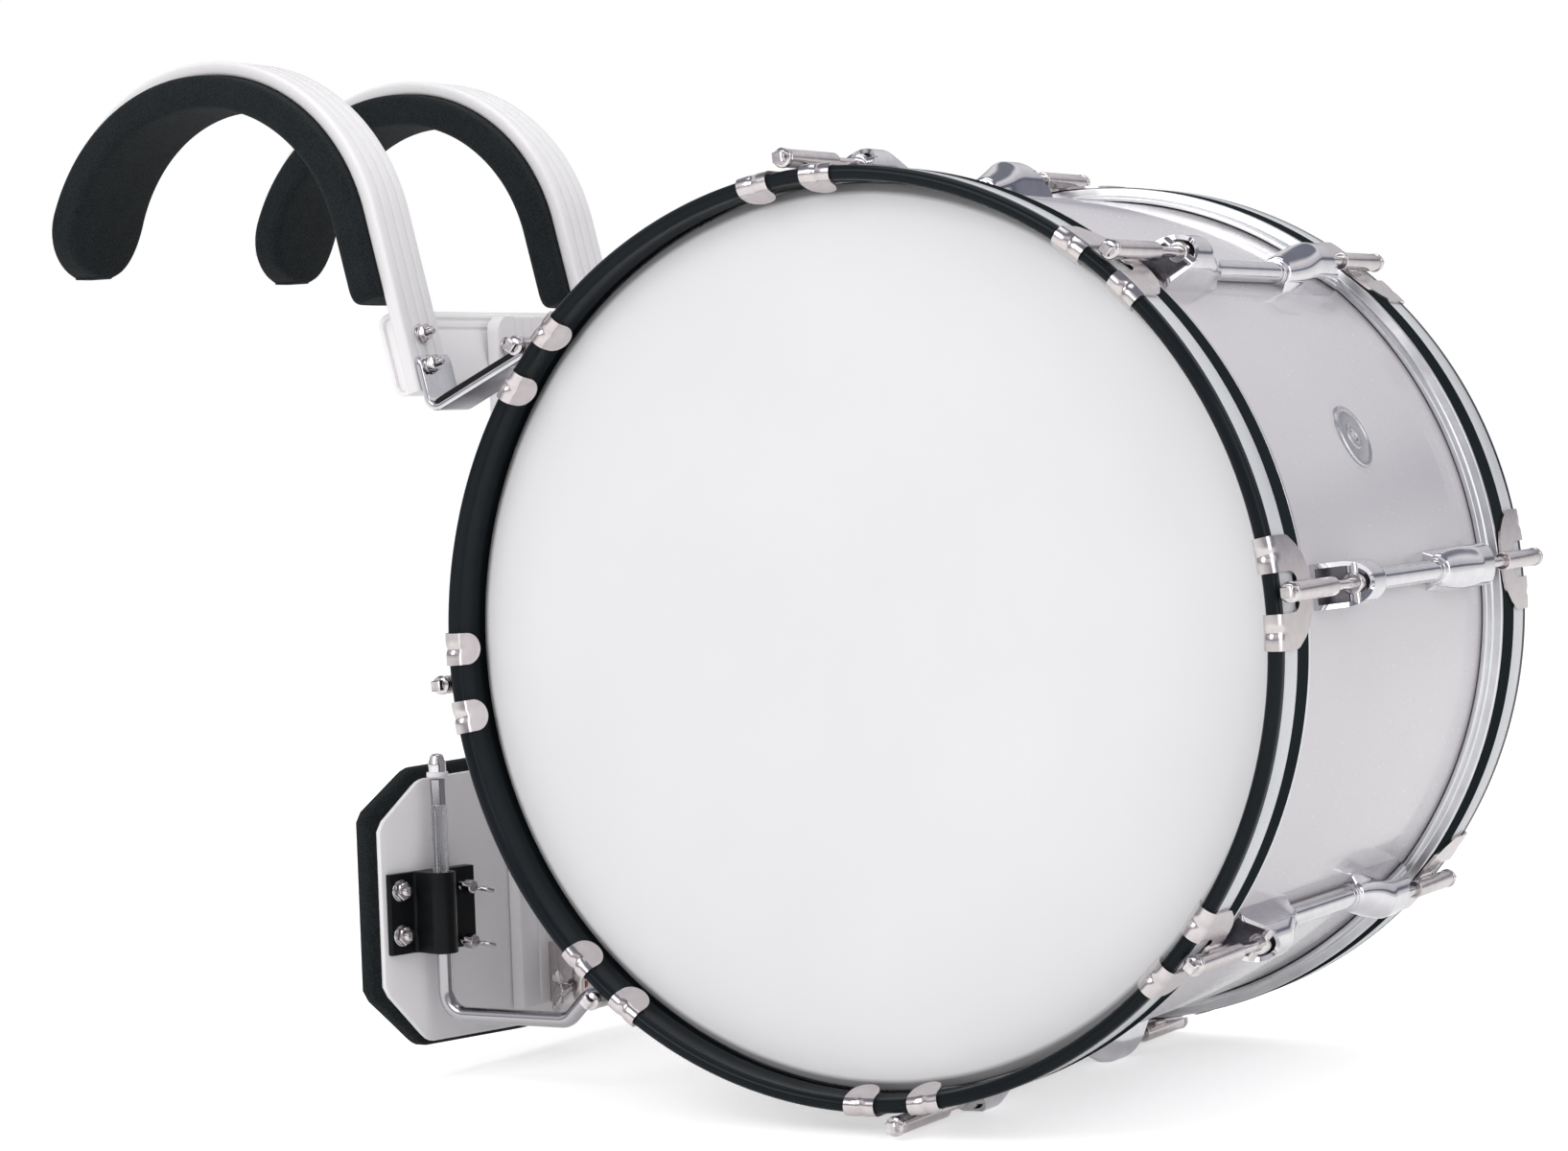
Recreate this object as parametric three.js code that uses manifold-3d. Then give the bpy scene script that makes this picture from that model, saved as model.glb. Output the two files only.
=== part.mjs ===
// Marching bass drum on its shoulder carrier.
// The origin lies midway between the crowns of the two shoulder arches, where the player's shoulders rest.
// +X runs along the drum's axis, +Y points to the player's back, +Z points up. Sizes are in millimetres.
import * as THREE from 'three';
import { mergeVertices } from 'three/addons/utils/BufferGeometryUtils.js';
import Module from 'manifold-3d';

const wasm = await Module();
wasm.setup();

// Drum: shell, heads and hoops
const shellRadius = 254;
const shellLength = 344;
const shellWall = 6;
const bearingCut = 5;
const hoopProud = 10;
const hoopDepth = 41;
const hoopStandout = 22.7;
const hoopWall = 8.4;
const inlayWidth = 17.5;
const inlayInset = 7;
const inlayDepth = 0.8;
const filmThickness = 1;
const filmCollar = 9;
const fleshHoopWall = 3.2;
const fleshFlangeDepth = 3.5;
const fleshSkirt = 13.2;
const drumForward = 482;
const drumDrop = 332;

// Drum: tension hardware
const lugCount = 8;
const lugPhase = 95.3;
const rodHeight = 17;
const rodDiameter = 6;
const rodHeadDiameter = 11.4;
const rodHeadThickness = 3.6;
const rodKeySize = 6.2;
const rodKeyLength = 5;
const rodThreadReach = 14;
const lugTubeDiameter = 12.4;
const lugTubeLength = 100;
const lugCastingLength = 72;
const lugWidth = 25;
const lugCrown = 26.5;
const lugWall = 2.6;
const lugMouthDepth = 34;
const lugMouthSlant = 6;
const lugFoot = 1.6;
const lugThroatShare = 0.2;
const lugBellyShare = 0.52;
const nutDiameter = 12;
const nutLength = 7;
const nutSetback = 15;
const nutPivotDiameter = 7;
const clawSpread = 41.2;
const clawFingerWidth = 19.4;
const clawTipReach = 13.4;
const clawTipTilt = 70;
const clawBendClear = 0.2;
const clawRoot = 5;
const clawSheet = 1.6;
const clawTail = 13.2;
const clawTailWidth = 34;
const clawShoulder = 18.3;
const clawWindowDepth = 24.3;
const sleeveDiameter = 10.6;
const sleeveLength = 56;
const sleeveTail = 6;
const saddleWidth = 7.4;
const saddleLength = 22;

// Drum: vent badge on the shell
const badgeRadius = 19;
const badgeThickness = 1.8;
const badgeRim = 3.4;
const ventRadius = 3;
const badgeAxialPlace = -3;
const badgeAngle = 24;

// Carrier: shoulder arches
const barSpacing = 212;
const barWidth = 38;
const barThickness = 9;
const barCorner = 2.2;
const barRearAngle = 3;
const barFootRise = 11;
const archRadius = 100;
const legTilt = 14;
const grooveCount = 3;
const grooveWidth = 2.6;
const grooveDepth = 1.3;
const grooveFloorShare = 0.5;
const padThickness = 22;
const padFrontWidth = 54;
const padRearWidth = 72;
const padToeRise = 56;
const padTongue = 34;
const padTongueShare = 0.3;
const padToe = 8;
const padCorner = 6;
const padCrown = 2.4;
const padFlatShare = 0.33;
const padCornerLimitShare = 0.33;

// Carrier: crossbar, post and belly plate
const crossbarLength = 222;
const crossbarHeight = 49;
const crossbarDepth = 18;
const crossbarCorner = 7.5;
const crossbarWall = 2.6;
const crossbarGrooves = 2;
const crossbarInset = 13;
const postWidth = 60;
const postThickness = 9;
const postTopRise = 49;
const postBottom = 577;
const postCorner = 2.2;
const plateWidth = 307;
const plateHeight = 163;
const plateThickness = 3;
const plateTop = 421;
const plateFront = 142;
const plateFlatWidth = 243;
const plateSweep = 15;
const plateTopCut = 26;
const plateBottomCut = 35;
const plateSag = 6.5;
const bellyPadOverlap = 5;
const bellyPadRaise = 2;
const bellyPadThickness = 12;
const bellyPadRound = 3.5;

// Carrier: J rods and their clamps
const rodSpacing = 256;
const supportDiameter = 9.5;
const supportStandoff = 18;
const supportTop = 404;
const supportCapDiameter = 11;
const supportCapLength = 13;
const supportCapTopShare = 0.67;
const supportCollarDiameter = 13.5;
const supportCollarLength = 3.2;
const supportRun = 560;
const supportBend = 15;
const supportHookBend = 12;
const supportHookRun = 43;
const supportHookReach = 11;
const supportRamp = 45;
const supportTip = 8.4;
const supportTipAngle = 60;
const clampHeight = 50;
const clampTop = 477;
const clampOuterReach = 28.4;
const clampInnerReach = 35;
const clampBase = 4;
const clampFlange = 9;
const clampWall = 3.6;
const screwOffset = 24.5;
const screwDrop = 12;
const screwPitch = 34;
const screwShaft = 5;
const screwShaftGap = 4;
const screwBossDiameter = 9.5;
const screwBossLength = 7.5;
const wingSpan = 28.4;
const wingTurn = 16;
const wingHeight = 11;
const wingThickness = 2.6;
const wingCrownShare = 0.7;
const wingNeckShare = 0.5;
const wingSaddleShare = 0.33;
const screwBossTopShare = 0.84;

// Carrier: hook straps and their rubber
const strapWidth = 34;
const strapThickness = 4;
const strapUnder = 36.1;
const strapLeg = 43;
const strapBend = 7;
const strapSlope = 25;
const strapPast = 20;
const strapLip = 17;
const strapLipWidth = 12;
const strapTaper = 34;
const rubberWidth = 24;
const rubberThickness = 6;
const rubberLength = 82;
const rubberSetback = 8;

// Carrier: bracket with the wing screw at the foot of the post
const footBracketWidth = 16;
const footBracketHeight = 40;
const footBracketDrop = 558;
const footBracketBase = 7.4;
const footBracketSheet = 4;
const footBracketReach = 25;
const footScrewStandoff = 14.7;
const footScrewDrop = 567;
const footScrewGap = 1;
const footScrewReach = 6;

// Fits
const seat = 0.3;
const runningGap = 0.4;
const overrun = 1;
const sunk = 1.6;

// Fineness of round surfaces
const ringSegments = 56;
const tubeSides = 8;
const smallSides = 10;
const bendSteps = 3;
const channelSteps = 6;
const noseSteps = 4;
const fingerSteps = 6;
const fingerEndSteps = 3;
const fingerEndShare = 0.88;
const archSteps = 11;
const tongueSteps = 4;

const degrees = Math.PI / 180;
const hoopRadius = shellRadius + hoopProud;
const headOuter = shellLength / 2 + seat + filmThickness;
const hoopFace = headOuter + hoopStandout;
const hoopBack = hoopFace - hoopDepth;
const rodRadius = shellRadius + rodHeight;
const clampX = rodSpacing / 2;
const barX = barSpacing / 2;
const barRadius = archRadius + padThickness + seat;
const lugEnd = lugTubeLength / 2 + lugCastingLength;
const hoopNose = hoopWall / 2;

function paint(color, roughness, metalness) {
  return new THREE.MeshStandardMaterial({ color, roughness, metalness });
}

const part = new THREE.Group();
part.name = 'marching_bass_drum';
const drum = new THREE.Group();
drum.position.set(0, -drumForward, -drumDrop);
const carrier = new THREE.Group();
part.add(drum, carrier);

function addPiece(group, name, geometry, material) {
  const mesh = new THREE.Mesh(geometry, material);
  mesh.name = name;
  group.add(mesh);
  return mesh;
}

// Turns a closed geometry into a solid that can be joined and cut.
function solid(geometry) {
  const bare = geometry.index ? geometry.toNonIndexed() : geometry.clone();
  for (const name of Object.keys(bare.attributes)) {
    if (name !== 'position') bare.deleteAttribute(name);
  }
  const merged = mergeVertices(bare, 1e-4);
  const vertProperties = Float32Array.from(merged.attributes.position.array);
  const triVerts = Uint32Array.from(merged.index.array);
  return new wasm.Manifold(new wasm.Mesh({ numProp: 3, vertProperties, triVerts }));
}

function geometryOf(body) {
  const mesh = body.getMesh();
  const geometry = new THREE.BufferGeometry();
  geometry.setAttribute('position', new THREE.BufferAttribute(Float32Array.from(mesh.vertProperties), 3));
  geometry.setIndex(new THREE.BufferAttribute(Uint32Array.from(mesh.triVerts), 1));
  geometry.computeVertexNormals();
  return geometry;
}

const join = (...geometries) => geometryOf(geometries.map(solid).reduce((all, next) => all.add(next)));
const carve = (left, tool) => left.subtract(tool);
const cut = (geometry, ...tools) => geometryOf(tools.map(solid).reduce(carve, solid(geometry)));

// Skins a row of closed rings that hold equally many points, and closes both ends.
function loft(rings) {
  const count = rings[0].length;
  const positions = rings.flat().flatMap((point) => [point.x, point.y, point.z]);
  const index = [];
  for (let ring = 0; ring + 1 < rings.length; ring += 1) {
    for (let i = 0; i < count; i += 1) {
      const next = (i + 1) % count;
      const a = ring * count + i;
      const b = ring * count + next;
      index.push(a, b, b + count, a, b + count, a + count);
    }
  }
  addCap(index, rings[0], 0, true);
  addCap(index, rings[rings.length - 1], (rings.length - 1) * count, false);
  const geometry = new THREE.BufferGeometry();
  geometry.setAttribute('position', new THREE.Float32BufferAttribute(positions, 3));
  geometry.setIndex(index);
  return faceOut(geometry);
}

function addCap(index, ring, first, reversed) {
  const origin = ring[0];
  const along = new THREE.Vector3().subVectors(ring[1], origin).normalize();
  const normal = new THREE.Vector3();
  for (let i = 0; i < ring.length; i += 1) {
    const a = new THREE.Vector3().subVectors(ring[i], origin);
    const b = new THREE.Vector3().subVectors(ring[(i + 1) % ring.length], origin);
    normal.add(a.cross(b));
  }
  normal.normalize();
  const across = new THREE.Vector3().crossVectors(normal, along);
  const flat = ring.map((point) => {
    const offset = new THREE.Vector3().subVectors(point, origin);
    return new THREE.Vector2(offset.dot(along), offset.dot(across));
  });
  for (const [a, b, c] of THREE.ShapeUtils.triangulateShape(flat, [])) {
    if (reversed) index.push(first + c, first + b, first + a);
    else index.push(first + a, first + b, first + c);
  }
}

// Turns every face round if the solid was built inside out.
function faceOut(geometry) {
  const points = geometry.attributes.position;
  const index = geometry.index.array;
  const corner = [new THREE.Vector3(), new THREE.Vector3(), new THREE.Vector3()];
  let volume = 0;
  for (let i = 0; i < index.length; i += 3) {
    corner.forEach((point, k) => point.fromBufferAttribute(points, index[i + k]));
    volume += corner[0].dot(corner[1].cross(corner[2]));
  }
  if (volume < 0) {
    for (let i = 0; i < index.length; i += 3) [index[i], index[i + 1]] = [index[i + 1], index[i]];
  }
  geometry.computeVertexNormals();
  return geometry;
}

// A ring of revolution about X from a closed profile of [radius, distance along the axis].
function turnedRing(profile, side, segments = ringSegments) {
  const points = profile.map(([radius, along]) => new THREE.Vector2(radius, along));
  if (profile[0][0] > 0) points.push(points[0].clone());
  return new THREE.LatheGeometry(points, segments).rotateZ((-side * Math.PI) / 2);
}

function rod(diameter, length, sides = smallSides) {
  return new THREE.CylinderGeometry(diameter / 2, diameter / 2, length, sides).rotateZ(Math.PI / 2);
}

// A corner path in the YZ plane with each inner corner rounded. Each stop has its place and its tangent.
function roundedPath(corners, radii) {
  const points = [corners[0]];
  for (let i = 1; i + 1 < corners.length; i += 1) {
    const into = corners[i].clone().sub(corners[i - 1]).normalize();
    const out = corners[i + 1].clone().sub(corners[i]).normalize();
    const turn = Math.acos(THREE.MathUtils.clamp(into.dot(out), -1, 1));
    const reach = radii[i - 1] * Math.tan(turn / 2);
    const side = Math.sign(into.x * out.y - into.y * out.x);
    const start = corners[i].clone().addScaledVector(into, -reach);
    const left = new THREE.Vector2(-into.y, into.x);
    const centre = start.clone().addScaledVector(left, side * radii[i - 1]);
    for (let step = 0; step <= bendSteps; step += 1) {
      const angle = (side * turn * step) / bendSteps;
      points.push(start.clone().rotateAround(centre, angle));
    }
  }
  points.push(corners[corners.length - 1]);
  return points.map((point, i) => {
    const before = points[Math.max(i - 1, 0)];
    const after = points[Math.min(i + 1, points.length - 1)];
    return { point, tangent: after.clone().sub(before).normalize() };
  });
}

// Places a flat section across a path in the YZ plane: first axis X, second axis the path's left side.
function ringAt(stop, section, x) {
  const left = new THREE.Vector2(-stop.tangent.y, stop.tangent.x);
  return section.map(([across, out]) => new THREE.Vector3(
    x + across,
    stop.point.x + left.x * out,
    stop.point.y + left.y * out,
  ));
}

function circle(radius, sides = tubeSides) {
  return Array.from({ length: sides }, (_, i) => {
    const angle = ((i + 0.5) * 2 * Math.PI) / sides;
    return [radius * Math.cos(angle), radius * Math.sin(angle)];
  });
}

// A flat bar's section with chamfered corners and a row of grooves along its outer face.
function groovedSection(width, thickness, corner, count) {
  const half = width / 2;
  const points = [[-half, 0], [half, 0], [half, thickness - corner], [half - corner, thickness]];
  for (let i = count - 1; i >= 0; i -= 1) {
    const middle = ((i - (count - 1) / 2) * width) / (count + 1);
    points.push([middle + grooveWidth / 2, thickness]);
    points.push([middle + (grooveWidth / 2) * grooveFloorShare, thickness - grooveDepth]);
    points.push([middle - (grooveWidth / 2) * grooveFloorShare, thickness - grooveDepth]);
    points.push([middle - grooveWidth / 2, thickness]);
  }
  points.push([corner - half, thickness], [-half, thickness - corner]);
  return points;
}

function shapeOf(points) {
  return new THREE.Shape(points.map(([x, y]) => new THREE.Vector2(x, y)));
}

function extruded(shape, depth, curveSegments = smallSides) {
  return new THREE.ExtrudeGeometry(shape, { depth, bevelEnabled: false, curveSegments });
}

// Local frame of a piece on the drum: X out along the axis on one side, Z out from the shell.
function onDrum(side, angle) {
  const out = new THREE.Vector3(side, 0, 0);
  const radial = new THREE.Vector3(0, -Math.cos(angle), Math.sin(angle));
  const tangent = new THREE.Vector3().crossVectors(radial, out);
  return new THREE.Matrix4().makeBasis(out, tangent, radial);
}

const lugAngle = (number) => (lugPhase - ((number - 1) * 360) / lugCount) * degrees;

// Where a tension rod's axis crosses the carrier's YZ plane.
function rodPlace(number) {
  const angle = lugAngle(number);
  const back = rodRadius * Math.cos(angle);
  const up = rodRadius * Math.sin(angle);
  return new THREE.Vector2(-drumForward - back, up - drumDrop);
}

// The carrier's feet hang from the level of the drum's upper rod.
const strapBottom = strapUnder - rodPlace(8).y;
const strapTop = strapBottom - strapLeg;
const barDrop = strapBottom - barFootRise;
const padDrop = barDrop - padToeRise;
const postTop = barDrop - postTopRise;

// Half a lug: a hollow casting with an arched mouth towards the hoop and a swivel nut inside.
function archSection(halfWidth, foot, crown) {
  const points = [[halfWidth, foot]];
  const steps = 5;
  for (let i = 0; i <= steps; i += 1) {
    const angle = (i * Math.PI) / steps;
    points.push([halfWidth * Math.cos(angle), crown - halfWidth + halfWidth * Math.sin(angle)]);
  }
  points.push([-halfWidth, foot]);
  return points;
}

function archRing(along, section, slant) {
  return section.map(([across, height]) => new THREE.Vector3(
    along - (slant * height) / lugCrown,
    across,
    shellRadius + height,
  ));
}

function lugCasting() {
  const start = lugTubeLength / 2;
  const neck = lugTubeDiameter / 2 + lugWall / 2;
  const half = lugWidth / 2;
  const throat = start + lugCastingLength * lugThroatShare;
  const belly = start + lugCastingLength * lugBellyShare;
  const outside = loft([
    archRing(start, archSection(neck, rodHeight - neck, rodHeight + neck), 0),
    archRing(throat, archSection((neck + half) / 2, -lugFoot, (neck + rodHeight + lugCrown) / 2), 0),
    archRing(belly, archSection(half, -lugFoot, lugCrown), 0),
    archRing(lugEnd, archSection(half, -lugFoot, lugCrown), lugMouthSlant),
  ]);
  const hollow = archSection(half - lugWall, lugWall, lugCrown - lugWall);
  const mouth = loft([
    archRing(lugEnd - lugMouthDepth, hollow, 0),
    archRing(lugEnd + overrun, hollow, 0),
  ]);
  const nutPlace = lugEnd - nutSetback - nutLength / 2;
  const nut = rod(nutDiameter, nutLength, tubeSides).translate(nutPlace, 0, rodRadius);
  const pivot = new THREE.BoxGeometry(nutPivotDiameter, lugWidth - lugWall, nutPivotDiameter);
  const bore = rod(rodDiameter + 2 * runningGap, lugMouthDepth, tubeSides);
  bore.translate(nutPlace, 0, rodRadius);
  pivot.translate(nutPlace, 0, rodRadius);
  return solid(outside).subtract(solid(mouth)).add(solid(nut)).add(solid(pivot)).subtract(solid(bore));
}

// The shell carries its lugs: two castings and the tube between them, eight times round.
function shellWithLugs() {
  const half = shellLength / 2;
  const inner = shellRadius - shellWall;
  const edge = shellRadius - bearingCut;
  let body = solid(turnedRing([
    [inner, -half], [edge, -half], [shellRadius, bearingCut - half],
    [shellRadius, half - bearingCut], [edge, half], [inner, half],
  ], 1));
  const vent = new THREE.CylinderGeometry(ventRadius, ventRadius, 2 * shellWall, smallSides);
  vent.rotateX(Math.PI / 2).translate(badgeAxialPlace, 0, shellRadius);
  vent.applyMatrix4(onDrum(1, badgeAngle * degrees));
  body = body.subtract(solid(vent));
  const casting = lugCasting();
  const tube = solid(rod(lugTubeDiameter, lugTubeLength + lugWall, tubeSides).translate(0, 0, rodRadius));
  for (let number = 1; number <= lugCount; number += 1) {
    for (const side of [-1, 1]) {
      body = body.add(casting.transform(onDrum(side, lugAngle(number)).toArray()));
    }
    body = body.add(tube.transform(onDrum(1, lugAngle(number)).toArray()));
  }
  return geometryOf(body);
}

// A head's film with the aluminium hoop that holds its rim.
function headProfile() {
  const inner = shellRadius + 2 * seat;
  const outer = inner + fleshHoopWall;
  const edge = shellRadius - bearingCut + seat;
  const film = headOuter - filmThickness;
  const bend = film - inner + edge;
  const crease = filmThickness * Math.tan(Math.PI / 8);
  const flange = hoopBack - seat;
  const rim = hoopRadius - seat;
  return [
    [0, film], [edge, film], [inner, bend], [inner, flange - fleshSkirt], [outer, flange - fleshSkirt],
    [outer, flange - fleshFlangeDepth], [rim, flange - fleshFlangeDepth], [rim, flange], [outer, flange],
    [outer, headOuter - filmCollar], [inner + filmThickness, headOuter - filmCollar],
    [inner + filmThickness, bend + crease], [edge + crease, headOuter], [0, headOuter],
  ];
}

// The counter hoop: its back presses the flange, its wall stands clear of the film, its front is round.
function hoopProfile() {
  const skirt = shellRadius + fleshHoopWall + 3 * seat;
  const wall = hoopRadius - hoopWall;
  const ledge = headOuter + seat;
  const inlayEnd = hoopFace - inlayInset;
  const inlayStart = inlayEnd - inlayWidth;
  const inlay = hoopRadius - inlayDepth;
  const front = [];
  for (let step = 0; step <= noseSteps; step += 1) {
    const angle = (step * Math.PI) / noseSteps;
    front.push([
      hoopRadius - hoopNose + hoopNose * Math.cos(angle),
      hoopFace - hoopNose + hoopNose * Math.sin(angle),
    ]);
  }
  return [
    [skirt, hoopBack], [hoopRadius, hoopBack], [hoopRadius, inlayStart], [inlay, inlayStart],
    [inlay, inlayEnd], [hoopRadius, inlayEnd], ...front, [wall, ledge], [skirt, ledge],
  ];
}

// A claw's finger on the XZ plane: it wraps the hoop's round front and ends in a disc inside the hoop.
function fingerGeometry() {
  const half = clawFingerWidth / 2;
  const radius = hoopNose + seat + clawBendClear + clawSheet / 2;
  const centre = new THREE.Vector2(hoopFace - hoopNose, hoopRadius - hoopNose);
  const turn = Math.PI / 2 + clawTipTilt * degrees;
  const rings = [];
  const addRing = (angle, along, width) => {
    const out = new THREE.Vector2(Math.sin(angle), Math.cos(angle));
    const middle = centre.clone().addScaledVector(out, radius);
    middle.addScaledVector(new THREE.Vector2(out.y, -out.x), along);
    rings.push([[-1, -1], [-1, 1], [1, 1], [1, -1]].map(([face, edge]) => new THREE.Vector3(
      middle.x + (face * out.x * clawSheet) / 2,
      edge * width,
      middle.y + (face * out.y * clawSheet) / 2,
    )));
  };
  addRing(0, -clawRoot, half);
  for (let step = 0; step <= fingerSteps; step += 1) addRing((turn * step) / fingerSteps, 0, half);
  for (let step = 0; step <= fingerEndSteps; step += 1) {
    const angle = (step * fingerEndShare * Math.PI) / (2 * fingerEndSteps);
    addRing(turn, clawTipReach - half + half * Math.sin(angle), half * Math.cos(angle));
  }
  return loft(rings);
}

// A claw: a sheet on the hoop with a window, two fingers round the front, and the rod's sleeve on a saddle.
function clawGeometry() {
  const bottom = hoopRadius + seat;
  const inner = (clawSpread - clawFingerWidth) / 2;
  const outer = (clawSpread + clawFingerWidth) / 2;
  const front = hoopFace - hoopNose;
  const tail = hoopBack - clawTail;
  const windowEnd = front - clawWindowDepth;
  const plan = new THREE.Shape();
  plan.moveTo(front, outer);
  plan.lineTo(front - clawShoulder, outer);
  plan.lineTo(tail, clawTailWidth / 2);
  plan.lineTo(tail, -clawTailWidth / 2);
  plan.lineTo(front - clawShoulder, -outer);
  plan.lineTo(front, -outer);
  plan.lineTo(front, -inner);
  plan.lineTo(windowEnd + inner, -inner);
  plan.absarc(windowEnd + inner, 0, inner, -Math.PI / 2, Math.PI / 2, true);
  plan.lineTo(front, inner);
  plan.closePath();
  const sheet = extruded(plan, clawSheet, bendSteps).translate(0, 0, bottom);
  const lean = Math.asin(clawSpread / 2 / hoopRadius);
  const sleevePlace = tail - sleeveTail + sleeveLength / 2;
  const sleeve = rod(sleeveDiameter, sleeveLength, tubeSides).translate(sleevePlace, 0, rodRadius);
  const saddleHeight = rodRadius - bottom;
  const saddle = new THREE.BoxGeometry(saddleLength, saddleWidth, saddleHeight);
  saddle.translate(tail + saddleLength / 2, 0, bottom + saddleHeight / 2);
  const bore = rod(rodDiameter + 2 * runningGap, sleeveLength + 2 * overrun, tubeSides);
  bore.translate(sleevePlace, 0, rodRadius);
  const whole = join(
    sheet,
    fingerGeometry().rotateX(lean),
    fingerGeometry().rotateX(-lean),
    saddle,
    sleeve,
  );
  return cut(whole, bore);
}

// A tension rod with its flanged head and the square that the drum key turns.
function tensionRodGeometry() {
  const sleeveEnd = hoopBack - clawTail - sleeveTail + sleeveLength;
  const tipEnd = lugEnd - nutSetback - nutLength - rodThreadReach / 2;
  const head = sleeveEnd + seat;
  const shank = rod(rodDiameter, head + overrun - tipEnd, tubeSides);
  shank.translate((head + overrun + tipEnd) / 2, 0, 0);
  const flange = rod(rodHeadDiameter, rodHeadThickness, tubeSides);
  flange.translate(head + rodHeadThickness / 2, 0, 0);
  const key = new THREE.BoxGeometry(rodKeyLength + overrun, rodKeySize, rodKeySize);
  key.translate(head + rodHeadThickness + (rodKeyLength - overrun) / 2, 0, 0);
  return join(shank, flange, key).translate(0, 0, rodRadius);
}

function badgeGeometry() {
  const base = shellRadius + seat;
  const profile = [
    [ventRadius, 0], [badgeRadius, 0], [badgeRadius, badgeThickness / 2],
    [badgeRadius - badgeRim, badgeThickness], [badgeRadius - badgeRim, badgeThickness / 2],
    [ventRadius + badgeRim, badgeThickness / 2],
    [ventRadius + badgeRim, badgeThickness], [ventRadius, badgeThickness], [ventRadius, 0],
  ];
  const disc = new THREE.LatheGeometry(profile.map(([x, y]) => new THREE.Vector2(x, y)), 2 * tubeSides);
  disc.rotateX(Math.PI / 2).translate(badgeAxialPlace, 0, base);
  return disc.applyMatrix4(onDrum(1, badgeAngle * degrees));
}

function buildDrum() {
  const chrome = paint(0xc9cbd0, 0.12, 1);
  const nickel = paint(0xb9b3ae, 0.25, 1);
  const black = paint(0x0e0f12, 0.15, 0);
  const film = paint(0xf3f1f5, 0.4, 0);
  const lacquer = paint(0xe9e6ea, 0.12, 0);
  addPiece(drum, 'drum_shell', shellWithLugs(), lacquer);
  addPiece(drum, 'vent_badge', badgeGeometry(), chrome);
  for (const [end, side] of [['right', -1], ['left', 1]]) {
    addPiece(drum, `${end}_head`, turnedRing(headProfile(), side), film);
    addPiece(drum, `${end}_hoop`, turnedRing(hoopProfile(), side), black);
    for (let number = 1; number <= lugCount; number += 1) {
      const place = onDrum(side, lugAngle(number));
      addPiece(drum, `${end}_claw_${number}`, clawGeometry().applyMatrix4(place), nickel);
      addPiece(drum, `${end}_tension_rod_${number}`, tensionRodGeometry().applyMatrix4(place), chrome);
    }
  }
}

// Angles round a shoulder arch from its rear end: close over the tongue, then even to the front leg.
function archAngles() {
  const tongue = Array.from({ length: tongueSteps }, (_, i) => (
    (padTongue / archRadius) * (1 - Math.cos((i * Math.PI) / 2 / tongueSteps))
  ));
  const start = padTongue / archRadius;
  const end = Math.PI - legTilt * degrees;
  const arch = Array.from({ length: archSteps + 1 }, (_, i) => start + ((end - start) * i) / archSteps);
  return [...tongue, ...arch];
}

// The tangents point back along the arch, so that a section's second axis points out of it.
function archStop(radius, angle) {
  const point = new THREE.Vector2(radius * Math.cos(angle), radius * Math.sin(angle) - archRadius);
  return { point, tangent: new THREE.Vector2(Math.sin(angle), -Math.cos(angle)) };
}

// Where the straight front leg reaches a depth below the origin.
function legStop(radius, drop) {
  const last = archStop(radius, Math.PI - legTilt * degrees);
  const length = (last.point.y + drop) / last.tangent.y;
  return { point: last.point.addScaledVector(last.tangent, -length), tangent: last.tangent };
}

function barGeometry(x) {
  const section = groovedSection(barWidth, barThickness, barCorner, grooveCount);
  const rear = barRearAngle * degrees;
  const angles = [rear, ...archAngles().filter((angle) => angle > rear)];
  const stops = [...angles.map((angle) => archStop(barRadius, angle)), legStop(barRadius, barDrop)];
  return loft(stops.map((stop) => ringAt(stop, section, x)));
}

// A pad's section: rounded corners and a crown on the face that lies on the shoulder.
function padSection(width, thickness) {
  const half = width / 2;
  const corner = Math.min(padCorner, half / 2, thickness * padCornerLimitShare);
  const flat = half * padFlatShare;
  const crown = (padCrown * width) / padRearWidth;
  const bevel = corner * (1 - Math.SQRT1_2);
  return [
    [-half, corner + crown], [bevel - half, bevel + crown], [corner - half, crown], [-flat, 0], [flat, 0],
    [half - corner, crown], [half - bevel, bevel + crown], [half, corner + crown],
    [half, thickness - corner], [half - bevel, thickness - bevel], [half - corner, thickness],
    [corner - half, thickness], [bevel - half, thickness - bevel], [-half, thickness - corner],
  ];
}

// A foam pad inside the arch: a round tongue behind the shoulder, narrowing to a blunt toe in front.
function padGeometry(x) {
  const rings = archAngles().map((angle, i) => {
    const tongueShare = Math.sin((Math.min(i, tongueSteps) * Math.PI) / 2 / tongueSteps);
    const legShare = Math.max(i - tongueSteps, 0) / archSteps;
    const full = padRearWidth + (padFrontWidth - padRearWidth) * legShare;
    return padRing(archStop(archRadius, angle), full * Math.max(tongueShare, padTongueShare), x);
  });
  rings.push(padRing(legStop(archRadius, padDrop - padToe), padFrontWidth, x));
  rings.push(padRing(legStop(archRadius, padDrop), padFrontWidth - padToe, x));
  return loft(rings);
}

function padRing(stop, width, x) {
  return ringAt(stop, padSection(width, padThickness), x);
}

// The line of a leg's back face, as Y at a height Z.
function legBack(z) {
  const end = Math.PI - legTilt * degrees;
  const top = new THREE.Vector2(barRadius * Math.cos(end), barRadius * Math.sin(end) - archRadius);
  return top.x + (z - top.y) * Math.tan(legTilt * degrees);
}

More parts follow.
